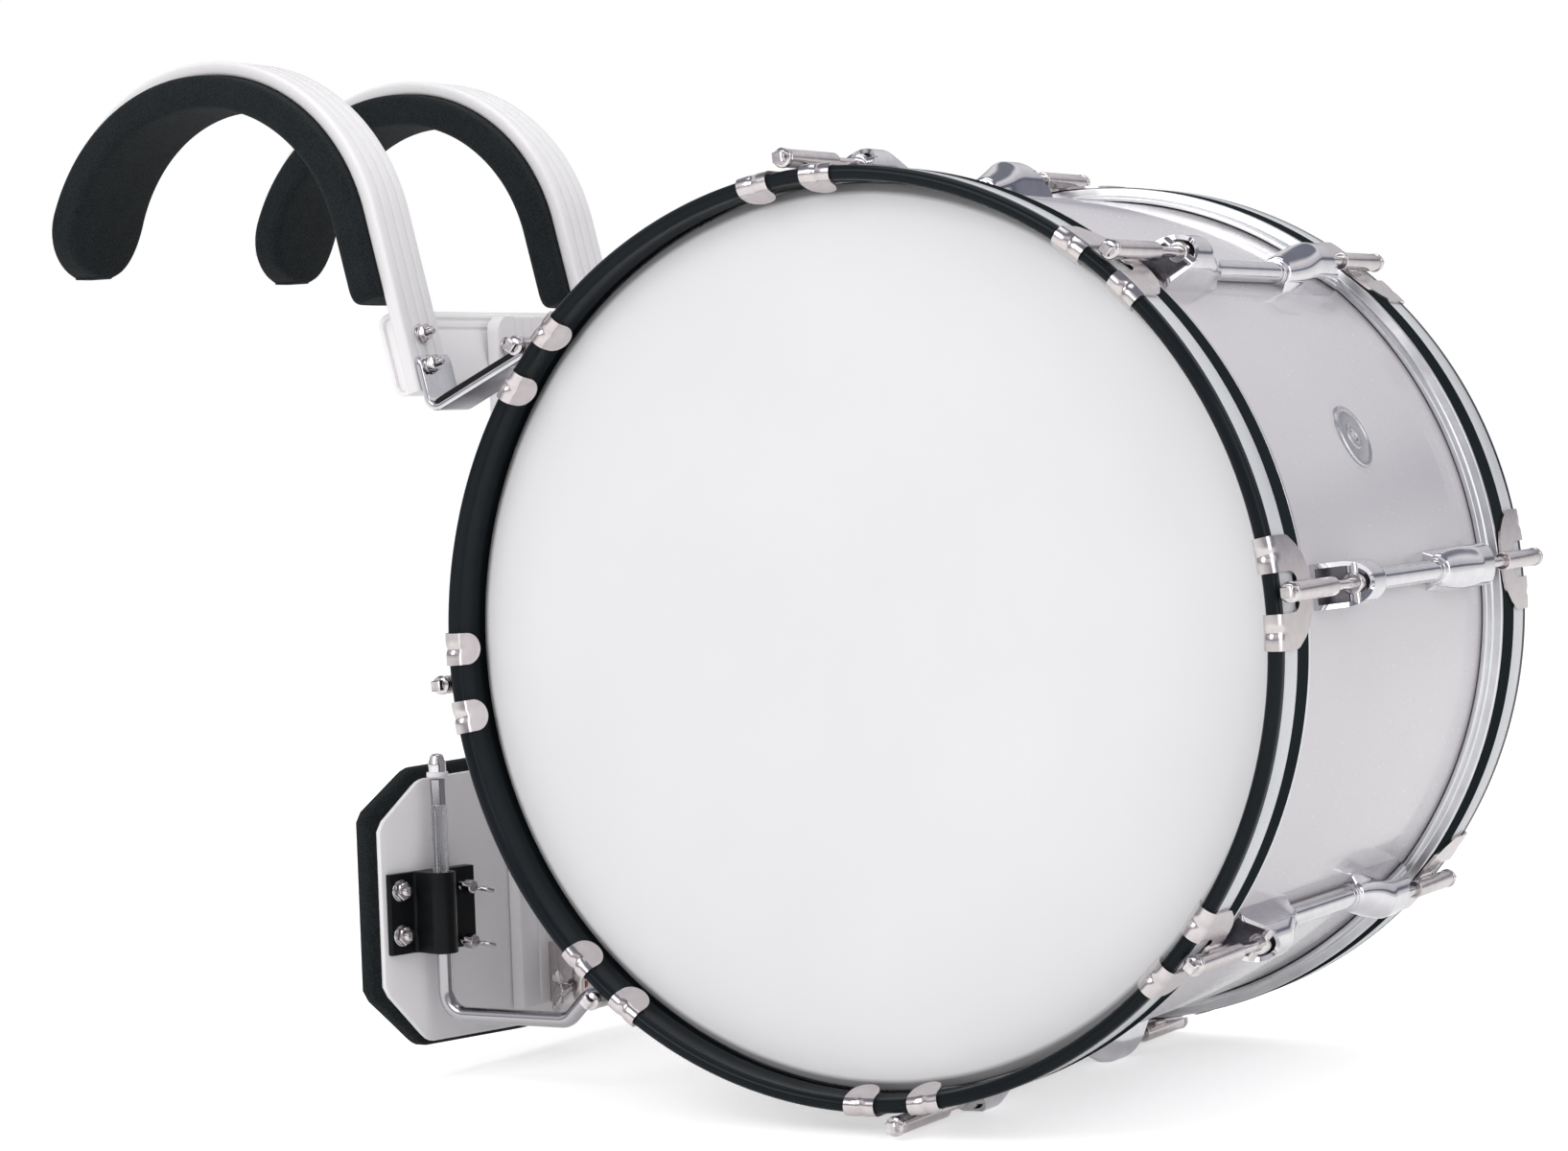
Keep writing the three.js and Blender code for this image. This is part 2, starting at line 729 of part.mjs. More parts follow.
// The crossbar's section, tilted with the legs: first its depth towards the player, then its height.
function crossbarSolid(grow, hollow) {
  const depth = crossbarDepth / 2 + grow;
  const height = crossbarHeight / 2 + grow;
  const shape = roundedRectangle(depth, height, crossbarCorner);
  if (hollow) {
    const corner = crossbarCorner - crossbarWall;
    shape.holes.push(roundedRectangle(depth - crossbarWall, height - crossbarWall, corner));
  }
  const length = crossbarLength + 2 * grow;
  const bar = extruded(shape, length, bendSteps).translate(0, 0, -length / 2);
  bar.applyMatrix4(new THREE.Matrix4().makeBasis(
    new THREE.Vector3(0, 1, 0), new THREE.Vector3(0, 0, 1), new THREE.Vector3(1, 0, 0),
  ));
  bar.rotateX(-legTilt * degrees);
  return bar.translate(0, crossbarPlace().y, crossbarPlace().z);
}

// The crossbar's middle, behind the front legs of the bars.
function crossbarPlace() {
  const z = (crossbarHeight / 2) * Math.cos(legTilt * degrees) - barDrop;
  return { y: legBack(z) + (seat + crossbarDepth / 2) / Math.cos(legTilt * degrees), z };
}

function roundedRectangle(halfWidth, halfHeight, corner) {
  const shape = new THREE.Shape();
  shape.absarc(halfWidth - corner, halfHeight - corner, corner, 0, Math.PI / 2);
  shape.absarc(corner - halfWidth, halfHeight - corner, corner, Math.PI / 2, Math.PI);
  shape.absarc(corner - halfWidth, corner - halfHeight, corner, Math.PI, -Math.PI / 2);
  shape.absarc(halfWidth - corner, corner - halfHeight, corner, -Math.PI / 2, 0);
  shape.closePath();
  return shape;
}

function crossbarGeometry() {
  const grooves = [];
  for (let i = 0; i < crossbarGrooves; i += 1) {
    const groove = new THREE.BoxGeometry(crossbarLength + 2 * overrun, 2 * grooveDepth, grooveWidth);
    const up = crossbarHeight / 2 - crossbarInset * (1 + i / 2);
    groove.translate(0, -crossbarDepth / 2, up).rotateX(-legTilt * degrees);
    grooves.push(groove.translate(0, crossbarPlace().y, crossbarPlace().z));
  }
  return cut(crossbarSolid(0, true), ...grooves);
}

// The post stands in front of the crossbar, notched to fit over it, and carries the belly plate below.
function postGeometry() {
  const section = groovedSection(postWidth, postThickness, postCorner, grooveCount);
  const height = postBottom - postTop;
  const shape = shapeOf(section.map(([across, out]) => [across, -out]));
  const post = extruded(shape, height).translate(0, -plateFront - seat, -postBottom);
  return cut(post, crossbarSolid(seat, false));
}

// The plate's outline in three panels: a flat middle that sags along its lower edge, and two outer ones.
function platePanels(grow) {
  const fold = plateFlatWidth / 2;
  const wide = plateWidth / 2 + grow;
  const tall = plateHeight / 2 + grow;
  const outer = (side) => [
    [side * fold, tall], [side * wide, tall - plateTopCut],
    [side * wide, plateBottomCut - tall], [side * fold, -tall],
  ];
  const flat = [[-fold, tall], [fold, tall], [fold, -tall], [0, -tall - plateSag], [-fold, -tall]];
  return [flat, outer(1), outer(-1)];
}

// How far back the swept outer panels lie at a distance x from the middle.
function plateBack(x) {
  return Math.max(Math.abs(x) - plateFlatWidth / 2, 0) * Math.tan(plateSweep * degrees);
}

// Skins the three panels through stops of [grow, distance behind the plate's front face].
function panelled(stops, middle) {
  const outlines = stops.map(([grow]) => platePanels(grow));
  return join(...outlines[0].map((_, panel) => loft(stops.map(([, behind], i) => outlines[i][panel].map(
    ([x, z]) => new THREE.Vector3(x, behind - plateFront + plateBack(x), z + middle),
  )))));
}

function plateGeometry() {
  return panelled([[0, 0], [0, plateThickness]], -plateTop - plateHeight / 2);
}

// The foam behind the belly plate, a little larger all round, with rounded rims.
function bellyPadGeometry() {
  const rimShares = [[0, -0.6], [0.3, 0], [0.7, 0], [0.93, -0.7], [1, -1.9]];
  const stops = rimShares.map(([depthShare, roundShare]) => [
    bellyPadOverlap + bellyPadRound * roundShare,
    plateThickness + seat + bellyPadThickness * depthShare,
  ]);
  return panelled(stops, bellyPadRaise - plateTop - plateHeight / 2);
}

// A J rod: capped and collared above its clamp, bent forward below it, and hooked under the drum's rod.
function supportGeometry(x) {
  const y = -plateFront - seat - supportStandoff;
  const under = rodPlace(6);
  const lift = under.y - rodDiameter / 2 - seat - supportDiameter / 2;
  const low = -supportRun - supportDiameter / 2;
  const rampEnd = under.x + supportHookRun;
  const rampStart = rampEnd + (lift - low) / Math.tan(supportRamp * degrees);
  const tip = new THREE.Vector2(-Math.cos(supportTipAngle * degrees), Math.sin(supportTipAngle * degrees));
  const tipCorner = new THREE.Vector2(under.x - supportHookReach, lift);
  const shaftTop = sunk - supportTop - supportCapLength;
  const corners = [
    new THREE.Vector2(y, shaftTop),
    new THREE.Vector2(y, low),
    new THREE.Vector2(rampStart, low),
    new THREE.Vector2(rampEnd, lift),
    tipCorner,
    tipCorner.clone().addScaledVector(tip, supportTip),
  ];
  const path = roundedPath(corners, [supportBend, supportHookBend, supportHookBend, supportHookBend]);
  const round = circle(supportDiameter / 2);
  const tube = loft(path.map((stop) => ringAt(stop, round, x)));
  const capRadius = supportCapDiameter / 2;
  const cap = new THREE.CylinderGeometry(
    capRadius * supportCapTopShare, capRadius, supportCapLength, smallSides,
  );
  cap.rotateX(Math.PI / 2).translate(x, y, -supportTop - supportCapLength / 2);
  const collar = new THREE.CylinderGeometry(
    supportCollarDiameter / 2, supportCollarDiameter / 2, supportCollarLength, smallSides,
  );
  collar.rotateX(Math.PI / 2).translate(x, y, -supportTop - supportCapLength);
  return join(tube, cap, collar);
}

// The J rod's upright axis, and the directions along and out of the swept panel that its clamp sits on.
function clampFrame(side) {
  const turn = plateSweep * degrees;
  const inward = new THREE.Vector3(-side * Math.cos(turn), -Math.sin(turn), 0);
  const out = new THREE.Vector3(side * Math.sin(turn), -Math.cos(turn), 0);
  const axis = new THREE.Vector3(side * clampX, -plateFront - seat - supportStandoff, 0);
  const corner = new THREE.Vector3((side * plateFlatWidth) / 2, -plateFront, 0);
  const depth = axis.clone().sub(corner).dot(out) - seat;
  return { inward, out, axis, depth };
}

// A clamp casting: a plate with a half-round channel for the J rod and a thick flange for the wing screws.
function clampGeometry(side) {
  const { inward, out, axis, depth } = clampFrame(side);
  const channel = supportDiameter / 2 + runningGap + clampWall;
  const outline = new THREE.Shape();
  outline.moveTo(-clampOuterReach, 0);
  outline.lineTo(-clampOuterReach, clampBase);
  outline.lineTo(-channel, clampBase);
  outline.lineTo(-channel, depth);
  outline.absarc(0, depth, channel, Math.PI, 0, true);
  outline.lineTo(channel, clampFlange);
  outline.lineTo(clampInnerReach, clampFlange);
  outline.lineTo(clampInnerReach, 0);
  outline.closePath();
  const hole = new THREE.Path();
  hole.absarc(0, depth, supportDiameter / 2 + runningGap, 0, 2 * Math.PI);
  outline.holes.push(hole);
  const low = side > 0 ? -clampTop - clampHeight : -clampTop;
  const boreRadius = screwShaft / 2 + runningGap;
  const bores = screwHeights().map((z) => {
    const bore = new THREE.CylinderGeometry(boreRadius, boreRadius, clampFlange, smallSides);
    return bore.translate(screwOffset, clampFlange / 2 + overrun, side * (z - low));
  });
  const casting = cut(extruded(outline, clampHeight, channelSteps), ...bores);
  const up = new THREE.Vector3(0, 0, side);
  casting.applyMatrix4(new THREE.Matrix4().makeBasis(inward, out, up));
  const foot = axis.clone().addScaledVector(out, -depth);
  return casting.translate(foot.x, foot.y, low);
}

function screwHeights() {
  return [-clampTop - screwDrop, -clampTop - screwDrop - screwPitch];
}

// A wing screw on the Z axis: its shaft points down from the boss, and the wings rise beside the boss.
function wingScrewGeometry(reach) {
  const bossRadius = screwBossDiameter / 2;
  const boss = new THREE.CylinderGeometry(
    bossRadius * screwBossTopShare, bossRadius, screwBossLength, smallSides,
  );
  boss.rotateX(Math.PI / 2).translate(0, 0, screwShaftGap + screwBossLength / 2);
  const shaftLength = reach + screwShaftGap + sunk;
  const shaft = new THREE.CylinderGeometry(screwShaft / 2, screwShaft / 2, shaftLength, smallSides);
  shaft.rotateX(Math.PI / 2).translate(0, 0, screwShaftGap + sunk - shaftLength / 2);
  const half = wingSpan / 2;
  const low = screwShaftGap + wingThickness;
  const high = low + wingHeight;
  const crown = half * wingCrownShare;
  const neck = bossRadius * wingNeckShare;
  const saddle = low + wingHeight * wingSaddleShare;
  const wings = new THREE.Shape();
  wings.moveTo(-neck, low);
  wings.lineTo(neck, low);
  wings.quadraticCurveTo(half, low, half, (low + high) / 2);
  wings.quadraticCurveTo(half, high, crown, high);
  wings.quadraticCurveTo(bossRadius, high, neck, saddle);
  wings.lineTo(-neck, saddle);
  wings.quadraticCurveTo(-bossRadius, high, -crown, high);
  wings.quadraticCurveTo(-half, high, -half, (low + high) / 2);
  wings.quadraticCurveTo(-half, low, -neck, low);
  const blade = extruded(wings, wingThickness, bendSteps);
  blade.translate(0, 0, -wingThickness / 2).rotateX(Math.PI / 2);
  return join(boss, shaft, blade);
}

// A hook strap: bolted to the bar's foot, bent up over the drum's rod, with a narrow lip in front of it.
function strapPath() {
  const top = new THREE.Vector2(0, -strapTop);
  const bottom = new THREE.Vector2(0, -strapBottom);
  const offset = (barThickness + 2 * seat + strapThickness / 2) / Math.cos(legTilt * degrees);
  top.x = legBack(top.y) - offset;
  bottom.x = legBack(bottom.y) - offset;
  const along = new THREE.Vector2(-Math.cos(strapSlope * degrees), Math.sin(strapSlope * degrees));
  const reach = rodPlace(8).sub(bottom).dot(along) + strapPast;
  const end = bottom.clone().addScaledVector(along, reach);
  const down = new THREE.Vector2(-along.y, along.x);
  return { top, bottom, end, along, lip: end.clone().addScaledVector(down, strapLip) };
}

function strapSection(width) {
  const half = width / 2;
  const thick = strapThickness / 2;
  return [[-half, -thick], [half, -thick], [half, thick], [-half, thick]];
}

function strapGeometry(x, side) {
  const line = strapPath();
  const stops = roundedPath([line.top, line.bottom, line.end, line.lip], [strapBend, strapBend / 2]);
  const rings = stops.map((stop) => {
    const left = line.end.distanceTo(stop.point);
    const nearEnd = stop.point.distanceTo(line.bottom) > line.end.distanceTo(line.bottom) - strapTaper;
    const share = nearEnd ? Math.min(left / strapTaper, 1) : 1;
    const width = strapLipWidth + (strapWidth - strapLipWidth) * share;
    return ringAt(stop, strapSection(width), x + side * (clampX - barX) * (1 - share));
  });
  const taper = line.end.clone().addScaledVector(line.along, -strapTaper);
  const wide = ringAt({ point: taper, tangent: line.along }, strapSection(strapWidth), x);
  rings.splice(bendSteps + 2, 0, wide);
  return loft(rings);
}

function rubberGeometry(x) {
  const line = strapPath();
  const lift = strapThickness / 2 + seat;
  const section = padSection(rubberWidth, rubberThickness).map(([across, out]) => [across, -out - lift]);
  const start = line.bottom.clone().addScaledVector(line.along, rubberSetback);
  const end = line.bottom.clone().addScaledVector(line.along, rubberSetback + rubberLength);
  return loft([start, end].map((point) => ringAt({ point, tangent: line.along }, section, x)));
}

// A bracket on the foot of the post, whose side flange takes a wing screw along X.
function footBracketGeometry() {
  const front = -plateFront - seat - postThickness - seat;
  const base = new THREE.BoxGeometry(footBracketWidth, footBracketBase, footBracketHeight);
  base.translate(footBracketWidth / 2, front - footBracketBase / 2, -footBracketDrop);
  const flange = new THREE.BoxGeometry(footBracketSheet, footBracketReach, footBracketHeight);
  flange.translate(footBracketSheet / 2, front - footBracketReach / 2, -footBracketDrop);
  const bore = rod(screwShaft + 2 * runningGap, 2 * footBracketWidth);
  bore.translate(0, footScrewPlace(), -footScrewDrop);
  return cut(join(base, flange), bore);
}

function footScrewPlace() {
  return -plateFront - seat - postThickness - footScrewStandoff;
}

function buildCarrier() {
  const white = paint(0xe6e3e6, 0.35, 0.1);
  const foam = paint(0x15181a, 0.95, 0);
  const steel = paint(0x101113, 0.45, 0.3);
  const chrome = paint(0xc4c6ca, 0.15, 1);
  const rubber = paint(0x0c0d0e, 0.8, 0);
  addPiece(carrier, 'crossbar', crossbarGeometry(), white);
  addPiece(carrier, 'centre_post', postGeometry(), white);
  addPiece(carrier, 'belly_plate', plateGeometry(), white);
  addPiece(carrier, 'belly_pad', bellyPadGeometry(), foam);
  addPiece(carrier, 'foot_bracket', footBracketGeometry(), chrome);
  const footScrew = addPiece(carrier, 'foot_wing_screw', wingScrewGeometry(footScrewReach), chrome);
  footScrew.position.set(-footScrewGap, footScrewPlace(), -footScrewDrop);
  footScrew.rotation.y = -Math.PI / 2;
  for (const [hand, side] of [['right', -1], ['left', 1]]) {
    addPiece(carrier, `${hand}_shoulder_bar`, barGeometry(side * barX), white);
    addPiece(carrier, `${hand}_shoulder_pad`, padGeometry(side * barX), foam);
    addPiece(carrier, `${hand}_hook_strap`, strapGeometry(side * barX, side), chrome);
    addPiece(carrier, `${hand}_hook_rubber`, rubberGeometry(side * barX), rubber);
    addPiece(carrier, `${hand}_clamp`, clampGeometry(side), steel);
    addPiece(carrier, `${hand}_j_rod`, supportGeometry(side * clampX), chrome);
    screwHeights().forEach((z, i) => {
      const geometry = wingScrewGeometry(clampFlange - overrun);
      const screw = addPiece(carrier, `${hand}_wing_screw_${i + 1}`, geometry, chrome);
      const { inward, out, axis, depth } = clampFrame(side);
      axis.addScaledVector(inward, screwOffset).addScaledVector(out, clampFlange - depth);
      screw.position.set(axis.x, axis.y, z);
      screw.rotation.set(Math.PI / 2, -side * wingTurn * degrees, side * plateSweep * degrees, 'ZYX');
    });
  }
}

buildDrum();
buildCarrier();

export default part;
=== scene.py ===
# Marching bass drum on its shoulder carrier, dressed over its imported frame.
# Sizes are in millimetres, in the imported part's frame:
# +X along the drum's axis, +Y to the player's back, +Z up.
import math

import bmesh
import bpy
from mathutils import Matrix, Vector


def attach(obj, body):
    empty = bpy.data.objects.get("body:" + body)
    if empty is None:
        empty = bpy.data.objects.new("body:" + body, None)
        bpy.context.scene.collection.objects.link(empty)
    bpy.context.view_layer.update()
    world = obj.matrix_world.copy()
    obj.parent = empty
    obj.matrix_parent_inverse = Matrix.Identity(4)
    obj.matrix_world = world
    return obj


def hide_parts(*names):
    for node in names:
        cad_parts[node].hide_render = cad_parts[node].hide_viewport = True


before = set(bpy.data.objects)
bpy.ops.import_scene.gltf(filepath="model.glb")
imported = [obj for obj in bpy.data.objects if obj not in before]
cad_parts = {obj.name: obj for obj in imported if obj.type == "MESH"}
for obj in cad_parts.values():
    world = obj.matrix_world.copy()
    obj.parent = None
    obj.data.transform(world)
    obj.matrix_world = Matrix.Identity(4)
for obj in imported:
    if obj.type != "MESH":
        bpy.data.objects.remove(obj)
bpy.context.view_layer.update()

MM = 0.001
ROOT = "carrier_and_drum"
SIDES = (("right", -1), ("left", 1))
SEAT = 0.3
DEFAULT_CREASE = 32
MERGE_DISTANCE = 0.00002
STRAIGHT_TURN = 0.02
FINE_SIDES = 48
ROUND_SIDES = 40
ROD_SIDES = 36
CAP_SIDES = 32
THREAD_SIDES = 28
STUD_SIDES = 24
QUARTER_TURN = Matrix.Rotation(math.pi / 2, 4, "X")

# Drum: shell, head, hoop and badge
SHELL_RADIUS = 254
SHELL_HALF = 172
SHELL_WALL = 6
BEARING_CUT = 5
SHELL_EDGE = 0.8
DRUM_FORWARD = 482
DRUM_DROP = 332
HOOP_RADIUS = 264
HOOP_WALL = 8.4
HOOP_FACE = 196
HOOP_BACK = 155
HOOP_SKIRT = 258.1
HOOP_LEDGE = 173.6
HOOP_EDGE = 1.1
HOOP_EDGE_ROUND = (0.35, 0.3)
NOSE_STEPS = 14
INLAY_FRONT = 189
INLAY_BACK = 171.5
INLAY_DEPTH = 0.8
INLAY_SET = 0.06
INLAY_FLUSH = 0.05
INLAY_FLOOR = 0.1
INLAY_EDGE = 0.25
HOOP_BAND_END = 172.5
FILM_OUT = 173.3
FILM_THICKNESS = 0.8
FILM_END = 163
FILM_OUTSIDE = ((249.5, FILM_OUT), (255.2, 167.5), (255.4, FILM_END))
FILM_INSIDE = ((249.2, FILM_OUT - FILM_THICKNESS), (254.5, 167.3), (254.7, FILM_END))
FILM_BENDS = ([0, 4, 3, 0], [0, 3.4, 2.4, 0])
FLESH_INNER = 254.8
FLESH_OUTER = 257.8
FLESH_TOP = 164.3
FLESH_TAIL = 141.5
FLESH_EDGES = [0.8, 0.8, 1.2, 0.8, 0.8, 1.2, 0.8, 0.6]
FLANGE_FRONT = 154.7
FLANGE_BACK = 151.4
FLANGE_RADIUS = 263.5
RING_SEGMENTS = 288
BADGE_PLACE = -3
BADGE_ANGLE = 24
BADGE_SIDES = 72
BADGE_RISE = (
    (19.0, 0.1), (19.0, 1.1), (18.4, 1.8), (16.4, 1.9), (15.7, 1.3), (15.0, 1.1), (8.2, 1.0),
    (7.6, 1.5), (6.8, 1.7), (5.0, 1.7), (4.2, 1.5), (3.4, 0.9), (3.0, -0.6),
)

# Drum: lugs
LUG_COUNT = 8
LUG_PHASE = 95.3
LUG_TUBE = 12.4
LUG_START = 50
LUG_END = 122
LUG_WIDTH = 25
LUG_CROWN = 26.5
LUG_WALL = 2.6
LUG_FOOT = 1.0
LUG_MOUTH = 34
LUG_POINTS = 61
LUG_STEPS = 40
LUG_CREST = 93
LUG_SLANT = 25
LUG_POST = 6
LUG_RISE_LEAD = 14
LUG_SPREAD_LEAD = 20
LUG_SPREAD_RUN = 24
LUG_SLANT_RUN = 30
LUG_LIP = 0.7
LUG_LIP_SHARE = 0.08
LUG_CREASE = 38
ARC_STEPS = 30
MOUTH_STEPS = 8
TUBE_RISE = 6.6
TUBE_CLEARANCE = 0.5
SKIRT_HALF = 10.4
SKIRT_EDGE = 0.7
SKIRT_TAPER = 0.2
SKIRT_STEPS = 24
SKIRT_ARC_SHARES = (1.08, 1.16)
LUG_COLLAR_RISE = 1.1
LUG_COLLAR_SINK = 1
LUG_COLLAR_BACK = 3.0
LUG_COLLAR_FRONT = 0.2
LUG_COLLAR_EDGE = 0.5
POCKET_MARGIN = 0.3
POCKET_FLOOR = 0.4
POCKET_DEPTH = 2
NUT_SIZE = 12
NUT_LENGTH = 7
NUT_SETBACK = 15
NUT_EDGE = 0.8
PIVOT_RADIUS = 3.2

# Drum: claws and rods
ROD_RADIUS = 271
LOWER_ROD = 6
UPPER_ROD = 8
ROD_SIZE = 6
ROD_PAST_NUT = 7
ROD_OVERLAP = 0.5
CLAW_SHEET = 1.5
CLAW_LIFT = 0.3
CLAW_SPREAD = 20.6
CLAW_HALF = 9.7
CLAW_TAIL = 151.4
CLAW_WINDOW = 167.5
CLAW_SHOULDER = 173.5
CLAW_TURN = 160
CLAW_REACH = 13.4
CLAW_SIDE = ((0, 3.5), (1.6, 11), (4.5, 18), (12, 24.5))
CLAW_SIDE_BENDS = [0, 5, 9, 14, 12, 0]
CLAW_TAIL_STEPS = 9
CLAW_WINDOW_STEPS = 8
CLAW_STRAIGHT_STEPS = 4
CLAW_BEND_STEPS = 26
CLAW_ACROSS = 14
CLAW_EDGE = 0.3
CLAW_CREASE = 50
DISC_STEPS = 9
DISC_TURN_SHARE = 0.985
DIMPLE_DEPTH = 1.1
DIMPLE_WIDTH = 1.9
DIMPLE_LENGTH = 13
DIMPLE_PLACE_SHARE = 0.48
DIMPLE_START = 3
SLEEVE_SIZE = 10.6
SLEEVE_WALL = 1.9
SLEEVE_START = 135.8
SLEEVE_END = 191.8
SLEEVE_EDGES = [0.3, 0.7, 1.6, 0.4]
SADDLE_ROWS = ((0, 5.0), (2, 7.4), (20, 7.4), (23, 5.0))
SADDLE_FLARE = 1.6
SADDLE_NECK = 0.2
SADDLE_RISE = 1.4
HEAD_SIZE = 11.4
HEAD_THICKNESS = 3.6
HEAD_GAP = 0.3
HEAD_RIM = 2.6
HEAD_CHAMFER = 1.6
HEAD_EDGES = [0, 0.6, 0.9, 0.6, 0]
KEY_SIZE = 6.2
KEY_LENGTH = 5
KEY_SINK = 0.6
KEY_EDGE = 0.5
KEY_TAPER_SHARES = ((0, 1), (0.86, 1), (1.0, 0.84))

# Carrier: bars and pads
BAR_X = 106
BAR_WIDTH = 38
BAR_THICKNESS = 9
BAR_CORNER = 2.2
BAR_RADIUS = 122.3
BAR_REAR = 9
BAR_DROP = 184
BAR_EDGE = 0.6
ARCH_RADIUS = 100
ARCH_DROP = 100
ARCH_STEPS = 64
LEG_TILT = 14
GROOVE_PLACES = (9.5, 0, -9.5)
GROOVE_WIDTH = 2.6
GROOVE_DEPTH = 1.3
GROOVE_EDGE = 0.3
GROOVE_SHARES = ((1, 0), (0.45, 1), (-0.45, 1), (-1, 0))
PAD_DROP = 128
PAD_THICKNESS = 22
PAD_REAR_WIDTH = 72
PAD_FRONT_WIDTH = 54
PAD_TONGUE = 34
PAD_CORNER = 6
PAD_BACK_CORNER_SHARE = 0.7
PAD_CROWN = 2.4
PAD_FACE_STEPS = 10
PAD_TIP_SHARE = 0.22
PAD_END_RUN = 10
PAD_END_NARROWING = 14
PAD_END_STEPS = 8
PAD_SQUEEZE_SHARE = 0.12
PAD_SQUEEZE_STOPS = 5
PAD_EDGE = 3.2
PAD_CREASE = 70
TONGUE_STEPS = 14

# Carrier: crossbar, post, plate and belly pad
CROSSBAR_LENGTH = 222
CROSSBAR_HEIGHT = 52.5
CROSSBAR_DEPTH = 18
CROSSBAR_CORNER = 7.5
CROSSBAR_BROW = 3.6
CROSSBAR_WALL = 2.6
CROSSBAR_RECESS = 3
CROSSBAR_GROOVE_DROPS = (6.2, 12.2)
CROSSBAR_EDGE = 0.4
CORE_EDGE = 0.3
POST_WIDTH = 60
POST_TOP = 135
POST_BOTTOM = 577
POST_FRONT = 151.3
POST_ROUND = 12
POST_ROUND_STEPS = 8
POST_EDGE = 0.5
POST_CREASE = 28
POST_BOLT_X = 22
POST_BOLT_DROP = 154.5
PLATE_FRONT = 142
PLATE_THICKNESS = 3
PLATE_TOP = 421
PLATE_HEIGHT = 163
PLATE_HALF = 153.5
PLATE_FOLD = 121.5
PLATE_FOLD_REACH = 5
PLATE_SWEEP = 15
PLATE_TOP_CUT = 26
PLATE_BOTTOM_CUT = 35
PLATE_SAG = 6.5
PLATE_EDGE = 0.9
PLATE_EDGE_SHARE = 0.3
PLATE_CREASE = 50
PANEL_STEPS = 90
PANEL_CORNER = 7
PANEL_FOLD_ROUND = 14
PANEL_SAG_ROUND = 300
PANEL_UPRIGHT = 0.001
PANEL_TOLERANCE = 0.01
BELLY_OVERLAP = 5
BELLY_RAISE = 2
BELLY_THICKNESS = 12
BELLY_RIM = 3.5
BELLY_SHARES = (
    (0, -1.1), (0.04, -0.6), (0.12, -0.15), (0.25, 0), (0.7, 0), (0.84, -0.25), (0.93, -0.8), (1, -1.9),
)

# Carrier: J rods, clamps and screws
SUPPORT_X = 128
SUPPORT_Y = 160.3
SUPPORT_SIZE = 9.5
SUPPORT_TOP = 404
SUPPORT_LOW = 564.75
SUPPORT_BEND = 12
SUPPORT_FOOT_BEND = 15
RAMP_BACK = 43
TIP_FRONT = 11
TIP_LENGTH = 8.4
TIP_RISE = 60
SUPPORT_TIP_EDGES = (0.3, 1.2)
SUPPORT_TIP_RUN = 0.5
KNURL_DROPS = (17, 18, 60, 61)
KNURL_RISE = 0.25
CAP_SIZE = 11
CAP_LENGTH = 13
CAP_OVERLAP = 0.2
CAP_SHOULDER = 6.5
CAP_CROWN = (3.7, 0.6)
CAP_EDGES = [0, 0.4, 3.4, 2.2, 0]
COLLAR_SIZE = 13.5
COLLAR_LENGTH = 3.2
COLLAR_EDGES = [0, 0.9, 0.9, 0]
CLAMP_TOP = 477
CLAMP_HEIGHT = 50
CLAMP_OUTER = 28.4
CLAMP_INNER = 35
CLAMP_BASE = 4
CLAMP_FLANGE = 9
CLAMP_WALL = 3.6
CLAMP_BORE_GAP = 0.4
CLAMP_ARC_STEPS = 28
CLAMP_CORNERS = ([0.4, 0.9, 2.2], [1.6, 0.9, 0.4])
CLAMP_EDGE = 0.7
CLAMP_BOLT_DROPS = (487.5, 515)
CLAMP_BOLT_OUT = 20.5
NUT_WASHER = 1.1
NUT_WASHER_EDGES = [0, 0.2, 0.4, 0]
NUT_SEAT = 1.0
NUT_TAPER_SHARES = ((0, 1), (0.82, 1), (1, 0.9))
NUT_CORNER = 0.35
STUD_SHARE = 0.27
STUD_PITCH = 0.8
STUD_DEPTH = 0.35
STUD_FLANK = 0.3
STUD_RUN_OUT = 0.2
STUD_END = ((0.1, 0.3), (0.6, 0))
NUT_TURN = (0.3, 0.2, 1)
CLAMP_NUT = (10.4, 4.4, 3.6, 13.4)
POST_NUT = (10.0, 4.8, 4.0, 12.6)
SCREW_OFFSET = 24.5
SCREW_HEIGHTS = (489, 523)
SCREW_REACH = 18
FOOT_SCREW_REACH = 19
WING_TURN = 16
WING_SPAN = 28.4
WING_HEIGHT = 11
WING_THICKNESS = 2.6
WING_EDGE = 1.1
WING_POINTS = ((0.62, 0, -0.2), (1, 0.42, 0), (0.96, 1, 0), (0.504, 1, -0.4))
WING_SADDLE_SHARE = 0.33
WING_SADDLE_REACH = 2.2
WING_BENDS = [0.5, 4, 4.5, 3.2, 3, 3, 0.5]
WING_CREASE = 40
BOSS_SIZE = 9.5
BOSS_LENGTH = 7.5
BOSS_RIM = 2.4
BOSS_TAPER = 0.1
BOSS_CROWN = 4.0
BOSS_EDGES = [0, 0.6, 0.8, 1.6, 0]
SHAFT_SIZE = 5
SHAFT_GAP = 4
SHAFT_CHAMFER = 0.5
SHAFT_OVERLAP = 1
THREAD_PITCH = 0.8
THREAD_FLANKS = ((0.25, 0), (0.5, 0.32), (0.75, 0))
RED_CAP_SIZE = 6.2
RED_CAP_END = 20
RED_CAP_START = 14
RED_CAP_EDGES = [0, 0.9, 0.5, 0]

